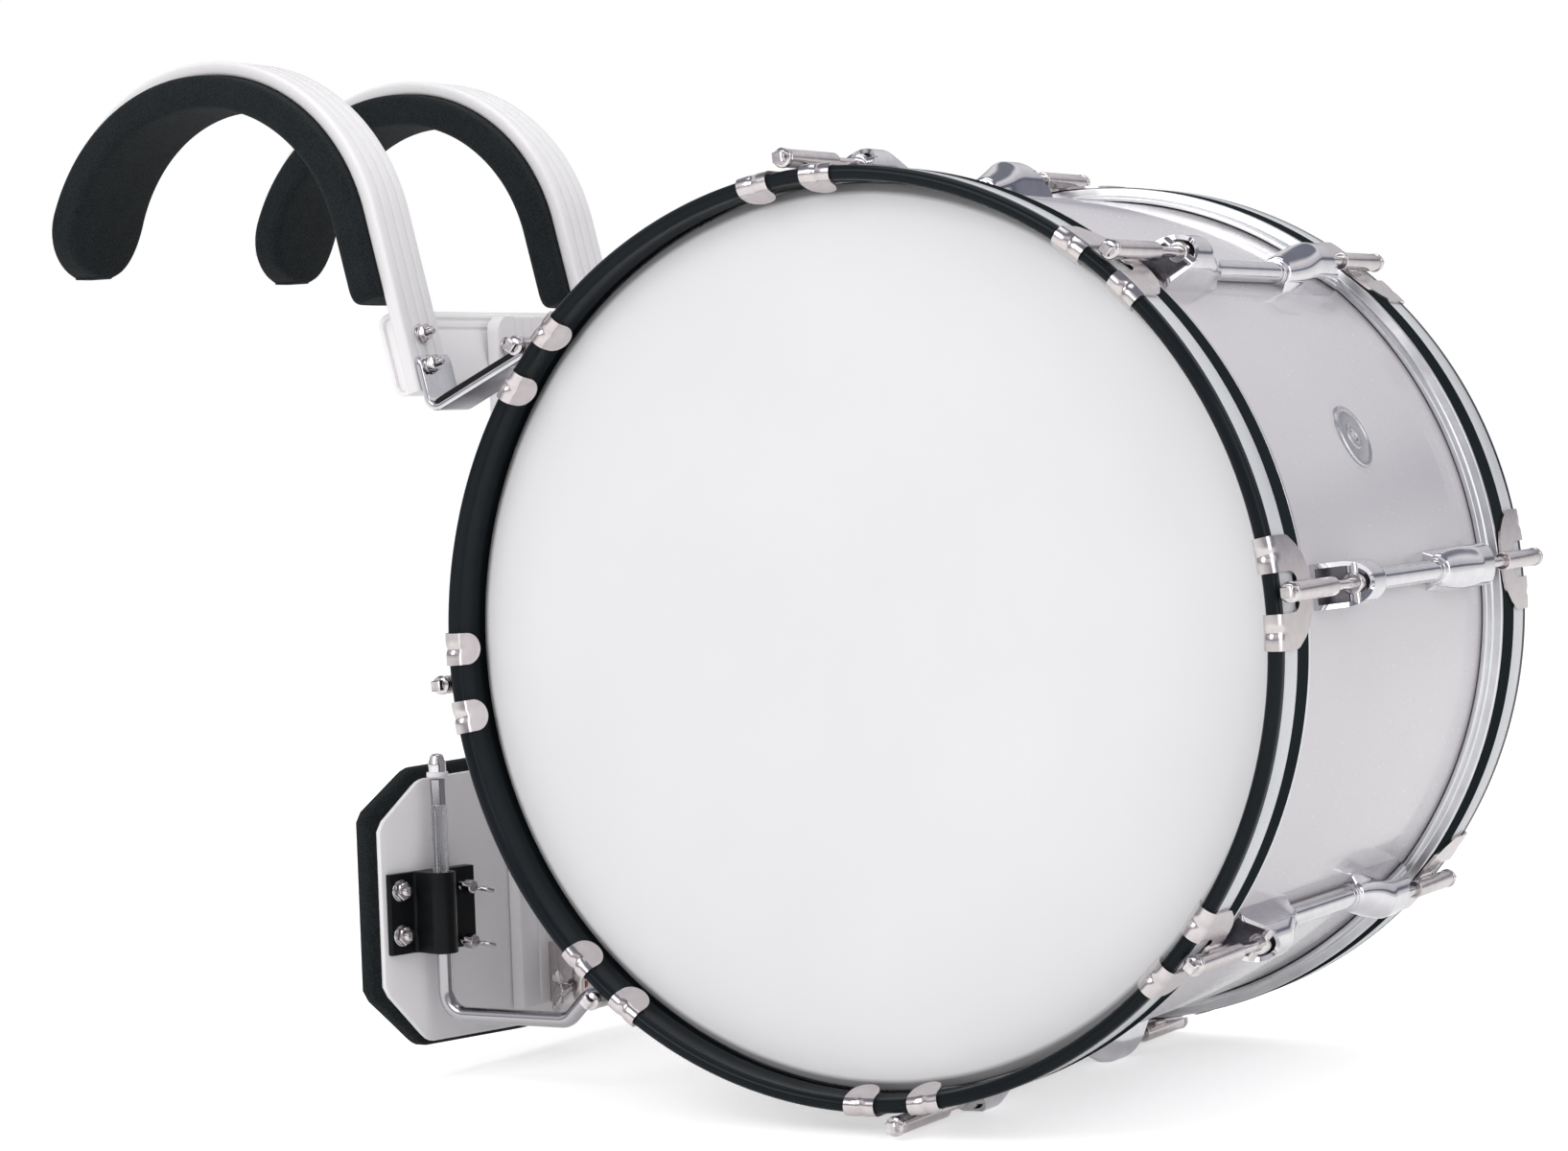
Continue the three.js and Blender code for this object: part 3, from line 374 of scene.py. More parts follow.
# Carrier: hook straps and foot bracket
STRAP_WIDTH = 34
STRAP_THICKNESS = 4
STRAP_TOP = 160
STRAP_BOTTOM = 195
STRAP_SLOPE = 25
STRAP_PAST = 20
STRAP_LIP = 17
STRAP_LIP_WIDTH = 12
STRAP_LIP_BEND = 3.5
STRAP_LIP_MARGIN = 1
STRAP_TAPER = 34
STRAP_BEND = 7
STRAP_POINTS = 110
STRAP_EDGE = 1.1
STRAP_CREASE = 40
STRAP_END_CUTS = (5, 4)
STRAP_END_NARROWING = 5
STRAP_BOLTS = ((146.5, 2.7, False), (165.7, 7.0, True))
STRAP_SHADE_TURN = -0.7
RUBBER_WIDTH = 24
RUBBER_THICKNESS = 6
RUBBER_LENGTH = 86
RUBBER_SETBACK = 4
RUBBER_STEPS = 20
RUBBER_END_SHARE = 0.06
RUBBER_END_THINNING = 0.35
RUBBER_END_NARROWING = 0.1
RUBBER_CREASE = 50
FOOT_WIDTH = 16
FOOT_HEIGHT = 40
FOOT_DROP = 558
FOOT_BASE = 7.4
FOOT_SHEET = 4
FOOT_REACH = 25
FOOT_CORNERS = [0.6, 1.6, 1.6, 2.5, 1.4, 0.6]
FOOT_EDGE = 0.6
FOOT_SCREW_X = -1
FOOT_SCREW_Y = 166
FOOT_SCREW_DROP = 567
FLOOR_DROP = 610


def mesh_from(name, part, material, crease=DEFAULT_CREASE):
    """Makes a mesh from (points, faces), smooth apart from its sharp creases."""
    points, faces = part
    mesh = bpy.data.meshes.new(name)
    mesh.from_pydata([Vector(p) * MM for p in points], [], faces)
    tidy = bmesh.new()
    tidy.from_mesh(mesh)
    bmesh.ops.remove_doubles(tidy, verts=tidy.verts, dist=MERGE_DISTANCE)
    bmesh.ops.recalc_face_normals(tidy, faces=tidy.faces)
    tidy.to_mesh(mesh)
    tidy.free()
    mesh.polygons.foreach_set("use_smooth", [True] * len(mesh.polygons))
    mesh.set_sharp_from_angle(angle=math.radians(crease))
    mesh.materials.append(material)
    return mesh


def placed(name, mesh, replaced=(), body=ROOT, matrix=None):
    """Puts a mesh into the scene as a piece that rides on a body; the matrix is in millimetres."""
    piece = bpy.data.objects.new(name, mesh)
    bpy.context.scene.collection.objects.link(piece)
    if matrix:
        matrix = matrix.copy()
        matrix.translation = matrix.translation * MM
        piece.matrix_world = matrix
    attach(piece, body)
    if replaced:
        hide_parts(*replaced)
    return piece


def shade_faces(mesh, material, chosen):
    """Gives a second material to the faces that are chosen."""
    mesh.materials.append(material)
    for face in mesh.polygons:
        if chosen(face):
            face.material_index = 1


def joined(parts):
    """Joins several (points, faces) pairs into one pair."""
    points = []
    faces = []
    for part_points, part_faces in parts:
        start = len(points)
        points.extend(part_points)
        faces.extend([tuple(start + i for i in face) for face in part_faces])
    return points, faces


def moved(part, matrix):
    points, faces = part
    return [matrix @ Vector(p) for p in points], faces


def rounded(corners, radii, steps=5, closed=True):
    """Rounds a polygon's corners; radii is one number or one for each corner."""
    count = len(corners)
    if not isinstance(radii, (list, tuple)):
        radii = [radii] * count
    path = []
    for i, corner in enumerate(corners):
        here = Vector(corner)
        radius = radii[i]
        if radius <= 0 or (not closed and i in (0, count - 1)):
            path.append(here)
            continue
        into = (here - Vector(corners[i - 1])).normalized()
        out = (Vector(corners[(i + 1) % count]) - here).normalized()
        turn = into.angle(out)
        if turn < STRAIGHT_TURN:
            path.append(here)
            continue
        start = here - into * (radius * math.tan(turn / 2))
        side = 1 if into.x * out.y > into.y * out.x else -1
        centre = start + Vector((-into.y, into.x)) * side * radius
        for step in range(steps + 1):
            angle = side * turn * step / steps
            path.append(centre + Matrix.Rotation(angle, 2) @ (start - centre))
    return path


def skin(rings, close_ends=True, loop_rings=False):
    """Skins closed rings of equal count; loop_rings joins the last ring to the first."""
    count = len(rings[0])
    points = [p for ring in rings for p in ring]
    faces = []
    last = len(rings) if loop_rings else len(rings) - 1
    for i in range(last):
        a = i * count
        b = ((i + 1) % len(rings)) * count
        for j in range(count):
            k = (j + 1) % count
            faces.append((a + j, a + k, b + k, b + j))
    if close_ends and not loop_rings:
        faces.append(tuple(range(count)))
        faces.append(tuple(reversed(range(len(points) - count, len(points)))))
    return points, faces


def revolved(profile, side):
    """Turns a closed profile of (radius, distance along the drum's axis) round that axis."""
    rings = []
    for i in range(RING_SEGMENTS):
        angle = 2 * math.pi * i / RING_SEGMENTS
        rings.append([
            Vector((side * x, -DRUM_FORWARD - r * math.cos(angle), -DRUM_DROP + r * math.sin(angle)))
            for r, x in profile
        ])
    return skin(rings, loop_rings=True)


def ring_profile(inner, outer, low, high):
    """A rectangle of (radius, height) pairs."""
    return [(inner, low), (outer, low), (outer, high), (inner, high)]


def turned(profile, sides=ROUND_SIDES):
    """Turns (radius, height) pairs about Z."""
    rings = []
    for r, z in profile:
        angles = [2 * math.pi * (i + 0.5) / sides for i in range(sides)]
        rings.append([Vector((r * math.cos(angle), r * math.sin(angle), z)) for angle in angles])
    return skin(rings)


def looped(profile):
    return [*profile, profile[0]]


def basis(x, y, z, origin=(0, 0, 0)):
    matrix = Matrix((x, y, z)).transposed().to_4x4()
    matrix.translation = Vector(origin)
    return matrix


def on_drum(side, angle):
    """Local X out along the drum's axis, local Z away from it, at an angle round the drum."""
    out = Vector((side, 0, 0))
    radial = Vector((0, -math.cos(angle), math.sin(angle)))
    return basis(out, radial.cross(out), radial, (0, -DRUM_FORWARD, -DRUM_DROP))


def along_drum(height):
    """Lays a part turned about Z along the drum's axis, at a height over that axis."""
    return Matrix.Translation((0, 0, height)) @ Matrix.Rotation(math.pi / 2, 4, "Y")


def lug_angle(number):
    return math.radians(LUG_PHASE - 360 / LUG_COUNT * (number - 1))


def rod_place(number):
    angle = lug_angle(number)
    return Vector((-DRUM_FORWARD - ROD_RADIUS * math.cos(angle), -DRUM_DROP + ROD_RADIUS * math.sin(angle)))


def slab(outline, holes, thickness, edge, steps=2):
    """A flat plate on XY from Z 0 up to its thickness, with rounded edges and holes."""
    curve = bpy.data.curves.new("slab", "CURVE")
    curve.dimensions = "2D"
    curve.fill_mode = "BOTH"
    for loop in [outline, *holes]:
        spline = curve.splines.new("POLY")
        spline.points.add(len(loop) - 1)
        for point, place in zip(spline.points, loop):
            point.co = (place[0], place[1], 0, 1)
        spline.use_cyclic_u = True
    curve.extrude = thickness / 2 - edge
    curve.bevel_depth = edge
    curve.bevel_resolution = steps
    curve.offset = -edge
    holder = bpy.data.objects.new("slab", curve)
    bpy.context.scene.collection.objects.link(holder)
    mesh = bpy.data.meshes.new_from_object(holder.evaluated_get(bpy.context.evaluated_depsgraph_get()))
    points = [v.co + Vector((0, 0, thickness / 2)) for v in mesh.vertices]
    faces = [tuple(p.vertices) for p in mesh.polygons]
    bpy.data.objects.remove(holder)
    bpy.data.curves.remove(curve)
    bpy.data.meshes.remove(mesh)
    return points, faces


def rectangle(width, height):
    return [
        (-width / 2, -height / 2), (width / 2, -height / 2),
        (width / 2, height / 2), (-width / 2, height / 2),
    ]


def circle(x, y, radius, sides):
    angles = [2 * math.pi * i / sides for i in range(sides)]
    return [(x + radius * math.cos(angle), y + radius * math.sin(angle)) for angle in angles]


def soften(piece, width, segments, angle):
    """Rounds a piece's hard edges with a bevel."""
    bevel = piece.modifiers.new("edges", "BEVEL")
    bevel.width = width * MM
    bevel.segments = segments
    bevel.limit_method = "ANGLE"
    bevel.angle_limit = math.radians(angle)
    bevel.harden_normals = True
    return piece


def resampled(path, count):
    """Spreads points evenly along an open path."""
    lengths = [0.0]
    for a, b in zip(path, path[1:]):
        lengths.append(lengths[-1] + (Vector(b) - Vector(a)).length)
    points = []
    i = 0
    for step in range(count):
        goal = lengths[-1] * step / (count - 1)
        while i < len(path) - 2 and lengths[i + 1] < goal:
            i += 1
        span = lengths[i + 1] - lengths[i]
        share = (goal - lengths[i]) / span if span else 0
        points.append(Vector(path[i]).lerp(Vector(path[i + 1]), share))
    return points


def smooth_share(value, low, high):
    share = min(max((value - low) / (high - low), 0), 1)
    return share * share * (3 - 2 * share)


# Materials. Sizes inside them are in metres, and noise scales in lumps per metre.
PATCH_SCALE = 7
RELIEF_DEPTH = 0.0004
PLATE_RELIEF_DEPTH = 0.0003
STREAK_STRETCH = (14, 0.35, 0.35)
FOAM_LUMPS = 60
FOAM_LUMP_SHARE = 0.7
FOAM_DEPTH = 0.0012
KNURL_PITCH = 0.0016
KNURL_LEAN = 1.25
KNURL_BOTTOM = (-0.480, -0.479)
KNURL_TOP = (-0.4355, -0.4365)
KNURL_DEPTH = 0.0006


def new_material(name):
    material = bpy.data.materials.new(name)
    material.use_nodes = True
    nodes = material.node_tree.nodes
    return material, nodes, material.node_tree.links, nodes["Principled BSDF"]


def add_node(nodes, kind, **settings):
    node = nodes.new(kind)
    for key, value in settings.items():
        node.inputs[key].default_value = value
    return node


def maths(nodes, links, operation, *values):
    """A Math node over sockets and numbers."""
    node = nodes.new("ShaderNodeMath")
    node.operation = operation
    for socket, value in zip(node.inputs, values):
        if isinstance(value, bpy.types.NodeSocket):
            links.new(value, socket)
        else:
            socket.default_value = value
    return node.outputs[0]


def position(nodes):
    return nodes.new("ShaderNodeTexCoord").outputs["Object"]


def noise(nodes, links, scale, detail=2.0, roughness=0.5, source=None, stretch=None):
    """A noise pattern over the piece, stretched where asked."""
    texture = add_node(nodes, "ShaderNodeTexNoise", Scale=scale, Detail=detail, Roughness=roughness)
    source = source or position(nodes)
    if stretch:
        mapping = add_node(nodes, "ShaderNodeMapping", Scale=stretch)
        links.new(source, mapping.inputs["Vector"])
        source = mapping.outputs["Vector"]
    links.new(source, texture.inputs["Vector"])
    return texture.outputs["Fac"]


def ramp(nodes, links, source, stops, interpolation="LINEAR"):
    """Maps a value to colours or greys through (place, colour) stops."""
    node = nodes.new("ShaderNodeValToRGB")
    node.color_ramp.interpolation = interpolation
    elements = node.color_ramp.elements
    while len(elements) < len(stops):
        elements.new(1.0)
    for element, (place, colour) in zip(elements, stops):
        element.position = place
        if not isinstance(colour, tuple):
            colour = (colour, colour, colour)
        element.color = (*colour, 1)
    links.new(source, node.inputs["Fac"])
    return node.outputs["Color"]


def bump(nodes, links, shader, source, strength, distance):
    node = add_node(nodes, "ShaderNodeBump", Strength=strength, Distance=distance)
    links.new(source, node.inputs["Height"])
    links.new(node.outputs["Normal"], shader.inputs["Normal"])


def painted(name, dark, light, roughness, coat=0.0, coat_roughness=0.05, grain=300, relief=0.06, spread=0.05,
            specular=0.5):
    """Paint or lacquer: a slightly uneven colour and gloss, and orange peel."""
    material, nodes, links, shader = new_material(name)
    patch = noise(nodes, links, PATCH_SCALE, detail=3)
    links.new(ramp(nodes, links, patch, ((0.3, dark), (0.7, light))), shader.inputs["Base Color"])
    fine = noise(nodes, links, grain)
    gloss = ramp(nodes, links, fine, ((0.2, roughness - spread), (0.8, roughness + spread)))
    links.new(gloss, shader.inputs["Roughness"])
    shader.inputs["Coat Weight"].default_value = coat
    shader.inputs["Specular IOR Level"].default_value = specular
    shader.inputs["Coat Roughness"].default_value = coat_roughness
    bump(nodes, links, shader, fine, relief, RELIEF_DEPTH)
    return material


def plated(name, dark, light, roughness, spread=0.04, grain=90, relief=0.03):
    """Plated metal: fine variation in tone and gloss, with faint polishing marks."""
    material, nodes, links, shader = new_material(name)
    patch = noise(nodes, links, grain, detail=4, roughness=0.6)
    links.new(ramp(nodes, links, patch, ((0.3, dark), (0.7, light))), shader.inputs["Base Color"])
    gloss = ramp(nodes, links, patch, ((0.25, roughness - spread), (0.75, roughness + spread)))
    links.new(gloss, shader.inputs["Roughness"])
    shader.inputs["Metallic"].default_value = 1.0
    bump(nodes, links, shader, patch, relief, PLATE_RELIEF_DEPTH)
    return material


def foam_material(name, dark, light, cells, relief):
    """Closed-cell foam: a fine cell pattern over soft larger lumps, without gloss."""
    material, nodes, links, shader = new_material(name)
    place = position(nodes)
    grain = add_node(nodes, "ShaderNodeTexVoronoi", Scale=cells)
    links.new(place, grain.inputs["Vector"])
    lumps = noise(nodes, links, FOAM_LUMPS, detail=5, roughness=0.65, source=place)
    mixed = maths(nodes, links, "MULTIPLY_ADD", lumps, FOAM_LUMP_SHARE, grain.outputs["Distance"])
    links.new(ramp(nodes, links, mixed, ((0.25, dark), (0.95, light))), shader.inputs["Base Color"])
    shader.inputs["Roughness"].default_value = 0.93
    shader.inputs["Specular IOR Level"].default_value = 0.08
    shader.inputs["Sheen Weight"].default_value = 0.05
    shader.inputs["Sheen Roughness"].default_value = 0.5
    bump(nodes, links, shader, mixed, relief, FOAM_DEPTH)
    return material


def turned_aluminium(name):
    """Bare aluminium with streaks that run round the drum's axis."""
    material, nodes, links, shader = new_material(name)
    streak = noise(nodes, links, 40, detail=4, roughness=0.7, stretch=STREAK_STRETCH)
    tone = ramp(nodes, links, streak, ((0.3, (0.56, 0.565, 0.58)), (0.7, (0.82, 0.825, 0.84))))
    links.new(tone, shader.inputs["Base Color"])
    links.new(ramp(nodes, links, streak, ((0.2, 0.22), (0.8, 0.4))), shader.inputs["Roughness"])
    shader.inputs["Metallic"].default_value = 1.0
    bump(nodes, links, shader, streak, 0.08, RELIEF_DEPTH)
    return material


def cap_red(name):
    """The foot screw's end cap: worn red plastic."""
    material, nodes, links, shader = new_material(name)
    wear = noise(nodes, links, 900, detail=3)
    tone = ramp(nodes, links, wear, ((0.35, (0.22, 0.012, 0.015)), (0.75, (0.55, 0.05, 0.05))))
    links.new(tone, shader.inputs["Base Color"])
    shader.inputs["Roughness"].default_value = 0.4
    bump(nodes, links, shader, wear, 0.1, PLATE_RELIEF_DEPTH)
    return material


def knurl_material(name):
    """Plate with a diamond knurl on the rod's middle part, above the clamp."""
    material, nodes, links, shader = new_material(name)
    split = nodes.new("ShaderNodeSeparateXYZ")
    links.new(position(nodes), split.inputs["Vector"])
    across = split.outputs["X"]
    up = split.outputs["Z"]
    waves = []
    for lean in (-1, 1):
        total = maths(nodes, links, "MULTIPLY_ADD", across, lean * KNURL_LEAN, up)
        turn = maths(nodes, links, "MULTIPLY", total, 2 * math.pi / KNURL_PITCH)
        waves.append(maths(nodes, links, "SINE", turn))
    ends = []
    for low, high in (KNURL_BOTTOM, KNURL_TOP):
        fade = add_node(nodes, "ShaderNodeMapRange", **{"From Min": low, "From Max": high})
        links.new(up, fade.inputs["Value"])
        ends.append(fade.outputs["Result"])
    height = maths(
        nodes, links, "MULTIPLY",
        maths(nodes, links, "MULTIPLY", *waves), maths(nodes, links, "MULTIPLY", *ends),
    )
    bump(nodes, links, shader, height, 0.9, KNURL_DEPTH)
    # Inside the knurl the colour follows the relief: the crests are painted lighter than the valleys and the
    # plain rod, as a painted highlight.
    tone = ramp(nodes, links, height, ((0.0, (0.46, 0.45, 0.47)), (0.5, (0.86, 0.86, 0.88))))
    links.new(tone, shader.inputs["Base Color"])
    shader.inputs["Metallic"].default_value = 1.0
    shader.inputs["Roughness"].default_value = 0.2
    return material


shell_white = painted(
    "shell_lacquer", (0.524, 0.500, 0.529), (0.553, 0.528, 0.558), 0.24,
    coat=0.5, grain=500, relief=0.02,
)
film_white = painted(
    "drumhead_film", (0.76, 0.755, 0.772), (0.79, 0.785, 0.80), 0.38,
    coat_roughness=0.1, grain=700, relief=0.05,
)
hoop_black = painted(
    "hoop_lacquer", (0.007, 0.010, 0.012), (0.012, 0.015, 0.018), 0.15,
    coat_roughness=0.12, grain=400, relief=0.03, specular=0.08,
)
band_black = painted(
    "hoop_side_lacquer", (0.012, 0.016, 0.018), (0.018, 0.022, 0.025), 0.3,
    coat_roughness=0.12, grain=400, relief=0.03, specular=0.0,
)
inlay_silver = painted(
    "hoop_inlay", (0.50, 0.51, 0.53), (0.58, 0.59, 0.61), 0.3,
    coat=0.2, coat_roughness=0.08, grain=900, relief=0.05,
)
bar_white = painted(
    "powder_coat", (0.80, 0.785, 0.80), (0.85, 0.84, 0.85), 0.36,
    coat=0.1, coat_roughness=0.2, grain=1400, relief=0.12,
)
# Painted light: a lighter copy of the same powder coat for the crossbar, post and belly plate, whose forward
# faces get little lamp light.
panel_white_painted_light = painted(
    "panel_coat_painted_light", (0.90, 0.885, 0.90), (0.93, 0.915, 0.93), 0.36,
    coat=0.1, coat_roughness=0.2, grain=1400, relief=0.12,
)
clamp_black = painted(
    "clamp_paint", (0.003, 0.004, 0.0045), (0.006, 0.007, 0.008), 0.34,
    coat_roughness=0.2, grain=1200, relief=0.12, specular=0.15,
)
strip_rubber = painted(
    "strip_rubber", (0.004, 0.005, 0.005), (0.008, 0.009, 0.01), 0.5,
    coat_roughness=0.1, grain=900, relief=0.2, specular=0.2,
)
collar_plastic = painted(
    "collar_plastic", (0.80, 0.79, 0.80), (0.84, 0.83, 0.84), 0.4,
    coat_roughness=0.1, grain=800, relief=0.03,
)
nickel = plated("claw_nickel", (0.58, 0.535, 0.535), (0.68, 0.635, 0.635), 0.2, grain=160)
chrome = plated("bright_chrome", (0.66, 0.65, 0.675), (0.75, 0.74, 0.76), 0.07, spread=0.03)
# Painted shade: a darker plating for the faces inside the lug's mouth, where the hollow lies in shade.
lug_pocket_painted_shade = plated("lug_pocket_painted_shade", (0.34, 0.33, 0.36), (0.54, 0.53, 0.55), 0.16, spread=0.05)
# Painted shade: a dark plating that stands in for the dark reflection on the strap's underside.
strap_shade = plated("strap_underside_painted_shade", (0.085, 0.08, 0.10), (0.13, 0.125, 0.145), 0.2)
wing_chrome = plated(
    "wing_chrome", (0.34, 0.325, 0.33), (0.54, 0.52, 0.525), 0.13, spread=0.05, grain=300, relief=0.06,
)
screw_chrome = plated(
    "screw_chrome", (0.56, 0.53, 0.54), (0.74, 0.71, 0.71), 0.13, spread=0.05, grain=300, relief=0.06,
)
satin_badge = plated(
    "badge_metal", (0.5, 0.5, 0.52), (0.62, 0.62, 0.64), 0.36, spread=0.05, grain=500, relief=0.06,
)
aluminium = turned_aluminium("flesh_hoop_aluminium")
pad_foam = foam_material("pad_foam", (0.003, 0.0045, 0.005), (0.017, 0.021, 0.023), 900, 0.6)
red_tip = cap_red("red_tip")
knurled = knurl_material("knurled_plate")


# Drum


def build_shell():
    inner = SHELL_RADIUS - SHELL_WALL
    cut = SHELL_RADIUS - BEARING_CUT
    profile = rounded([
        (inner, -SHELL_HALF), (cut, -SHELL_HALF), (SHELL_RADIUS, BEARING_CUT - SHELL_HALF),
        (SHELL_RADIUS, SHELL_HALF - BEARING_CUT), (cut, SHELL_HALF), (inner, SHELL_HALF),
    ], SHELL_EDGE, 3)
    mesh = mesh_from("shell", revolved(profile, 1), shell_white)
    placed("shell_cylinder", mesh, ("drum_shell",))


def arch_section(half, foot, crown):
    """An arch as (across, up) points: upright legs under a half circle."""
    path = [Vector((-half, foot))]
    for step in range(ARC_STEPS + 1):
        angle = math.pi * (1 - step / ARC_STEPS)
        path.append(Vector((half * math.cos(angle), crown - half + half * math.sin(angle))))
    path.append(Vector((half, foot)))
    return resampled(path, LUG_POINTS)


def skirt_section():
    """The casting's end at the tube: the tube's round back between two hollow skirts."""
    radius = LUG_TUBE / 2 + TUBE_CLEARANCE
    first, sweep = SKIRT_ARC_SHARES
    path = [Vector((-SKIRT_HALF, -LUG_FOOT)), Vector((SKIRT_TAPER - SKIRT_HALF, SKIRT_EDGE))]
    for step in range(SKIRT_STEPS + 1):
        angle = math.pi * (first - sweep * step / SKIRT_STEPS)
        path.append(Vector((radius * math.cos(angle), TUBE_RISE + radius * math.sin(angle))))
    path += [Vector((SKIRT_HALF - SKIRT_TAPER, SKIRT_EDGE)), Vector((SKIRT_HALF, -LUG_FOOT))]
    return resampled(path, LUG_POINTS)


def lug_slant(height, crown):
    """How far the mouth's edge leans back at a height: upright posts, then a slope to the crown."""
    return LUG_SLANT * max(height - LUG_POST, 0) / (crown - LUG_POST)


def lug_casting():
    """A hollow casting that grows from the tube's skirts to a slanted open mouth."""
    rings = []
    start = skirt_section()
    full = arch_section(LUG_WIDTH / 2, -LUG_FOOT, LUG_CROWN)
    for step in range(LUG_STEPS + 1):
        x = LUG_START + (LUG_END - LUG_START) * step / LUG_STEPS
        grown = smooth_share(x, LUG_START - LUG_RISE_LEAD, LUG_CREST)
        spread = smooth_share(x, LUG_START - LUG_SPREAD_LEAD, LUG_START + LUG_SPREAD_RUN)
        leaning = smooth_share(x, LUG_CREST - LUG_SLANT_RUN, LUG_END)
        ring = []
        for low, high in zip(start, full):
            across = low.x + (high.x - low.x) * spread
            up = low.y + (high.y - low.y) * grown
            ring.append(Vector((x - lug_slant(up, LUG_CROWN) * leaning, across, up)))
        if step == 0:
            rings.append([p.lerp(Vector((p.x, 0, TUBE_RISE / 2)), LUG_LIP_SHARE) for p in ring])
            ring = [p + Vector((LUG_LIP, 0, 0)) for p in ring]
        rings.append(ring)
    crown = LUG_CROWN - LUG_WALL
    for step in range(MOUTH_STEPS + 1):
        share = step / MOUTH_STEPS
        rings.append([
            Vector((LUG_END - LUG_MOUTH * share - lug_slant(up, crown) * (1 - share), across, up))
            for across, up in arch_section(LUG_WIDTH / 2 - LUG_WALL, LUG_WALL, crown)
        ])
    return skin(rings)


def in_pocket(face):
    """Whether a face of the casting lies inside its mouth."""
    x, across, up = face.center / MM
    up -= SHELL_RADIUS
    inner = LUG_WIDTH / 2 - LUG_WALL + POCKET_MARGIN
    above_floor = LUG_WALL - POCKET_FLOOR < up < LUG_CROWN - LUG_WALL + POCKET_MARGIN
    past_start = x > LUG_END - LUG_MOUTH - POCKET_DEPTH
    return past_start and above_floor and math.hypot(across, max(up - LUG_CROWN + LUG_WIDTH / 2, 0)) < inner


def build_lugs():
    lift = Matrix.Translation((0, 0, SHELL_RADIUS))
    casting = mesh_from("lug_casting", moved(lug_casting(), lift), chrome, LUG_CREASE)
    # The faces inside the mouth take the darker plating, as painted shade in the hollow.
    shade_faces(casting, lug_pocket_painted_shade, in_pocket)
    low = along_drum(SHELL_RADIUS + TUBE_RISE)
    inside = LUG_TUBE / 2 - LUG_COLLAR_SINK
    outside = LUG_TUBE / 2 + LUG_COLLAR_RISE
    back = LUG_START - LUG_COLLAR_BACK
    front = LUG_START - LUG_COLLAR_FRONT
    collar_profile = rounded(ring_profile(inside, outside, back, front), LUG_COLLAR_EDGE, 3)
    collar = mesh_from("lug_collar", moved(turned(looped(collar_profile), FINE_SIDES), low), chrome)
    start = LUG_END - NUT_SETBACK - NUT_LENGTH
    end = start + NUT_LENGTH
    nut_edges = [0, NUT_EDGE, NUT_EDGE, 0]
    nut_profile = rounded(ring_profile(ROD_SIZE / 2, NUT_SIZE / 2, start, end), nut_edges, 3)
    reach = LUG_WIDTH / 2 - LUG_WALL / 2
    pivot = turned(ring_profile(0, PIVOT_RADIUS, -reach, reach), STUD_SIDES)
    middle = Matrix.Translation((start + NUT_LENGTH / 2, 0, ROD_RADIUS))
    nut = mesh_from("swivel_nut", joined([
        moved(turned(looped(nut_profile), FINE_SIDES), along_drum(ROD_RADIUS)),
        moved(pivot, middle @ QUARTER_TURN),
    ]), screw_chrome)
    tube = turned(ring_profile(0, LUG_TUBE / 2, -LUG_START, LUG_START), FINE_SIDES)
    tube = mesh_from("lug_tube", moved(tube, low), chrome)
    for number in range(1, LUG_COUNT + 1):
        angle = lug_angle(number)
        for hand, side in SIDES:
            place = on_drum(side, angle)
            for name, mesh in (("lug_casting", casting), ("lug_collar", collar), ("swivel_nut", nut)):
                placed(f"{hand}_{name}_{number}", mesh, matrix=place)
        placed(f"lug_tube_{number}", tube, matrix=on_drum(1, angle))


def build_badge():
    """A round vent badge, wrapped on the shell: a raised rim, a dished face and a grommet round the vent."""
    rings = []
    for radius, height in BADGE_RISE:
        ring = []
        out = SHELL_RADIUS + height
        for i in range(BADGE_SIDES):
            angle = 2 * math.pi * i / BADGE_SIDES
            turn = radius * math.sin(angle) / SHELL_RADIUS
            ring.append(Vector((radius * math.cos(angle), out * math.sin(turn), out * math.cos(turn))))
        rings.append(ring)
    mesh = mesh_from("badge", skin(rings, close_ends=False), satin_badge)
    place = on_drum(1, math.radians(BADGE_ANGLE)) @ Matrix.Translation((BADGE_PLACE, 0, 0))
    placed("round_vent_badge", mesh, ("vent_badge",), matrix=place)


def build_head(hand, side):
    out_bends, in_bends = FILM_BENDS
    film = rounded([(0, FILM_OUT), *FILM_OUTSIDE], out_bends, 8, closed=False)
    inside = rounded([(0, FILM_OUT - FILM_THICKNESS), *FILM_INSIDE], in_bends, 8, closed=False)
    mesh = mesh_from(f"{hand}_film", revolved([*film, *reversed(inside)], side), film_white)
    placed(f"{hand}_drumhead_film", mesh, (f"{hand}_head",))
    ring = rounded([
        (FLESH_INNER, FLESH_TOP), (FLESH_OUTER, FLESH_TOP), (FLESH_OUTER, FLANGE_FRONT),
        (FLANGE_RADIUS, FLANGE_FRONT), (FLANGE_RADIUS, FLANGE_BACK), (FLESH_OUTER, FLANGE_BACK),
        (FLESH_OUTER, FLESH_TAIL), (FLESH_INNER, FLESH_TAIL),
    ], FLESH_EDGES, 4)
    mesh = mesh_from(f"{hand}_flesh", revolved(ring, side), aluminium)
    placed(f"{hand}_flesh_hoop", mesh, (f"{hand}_head",))


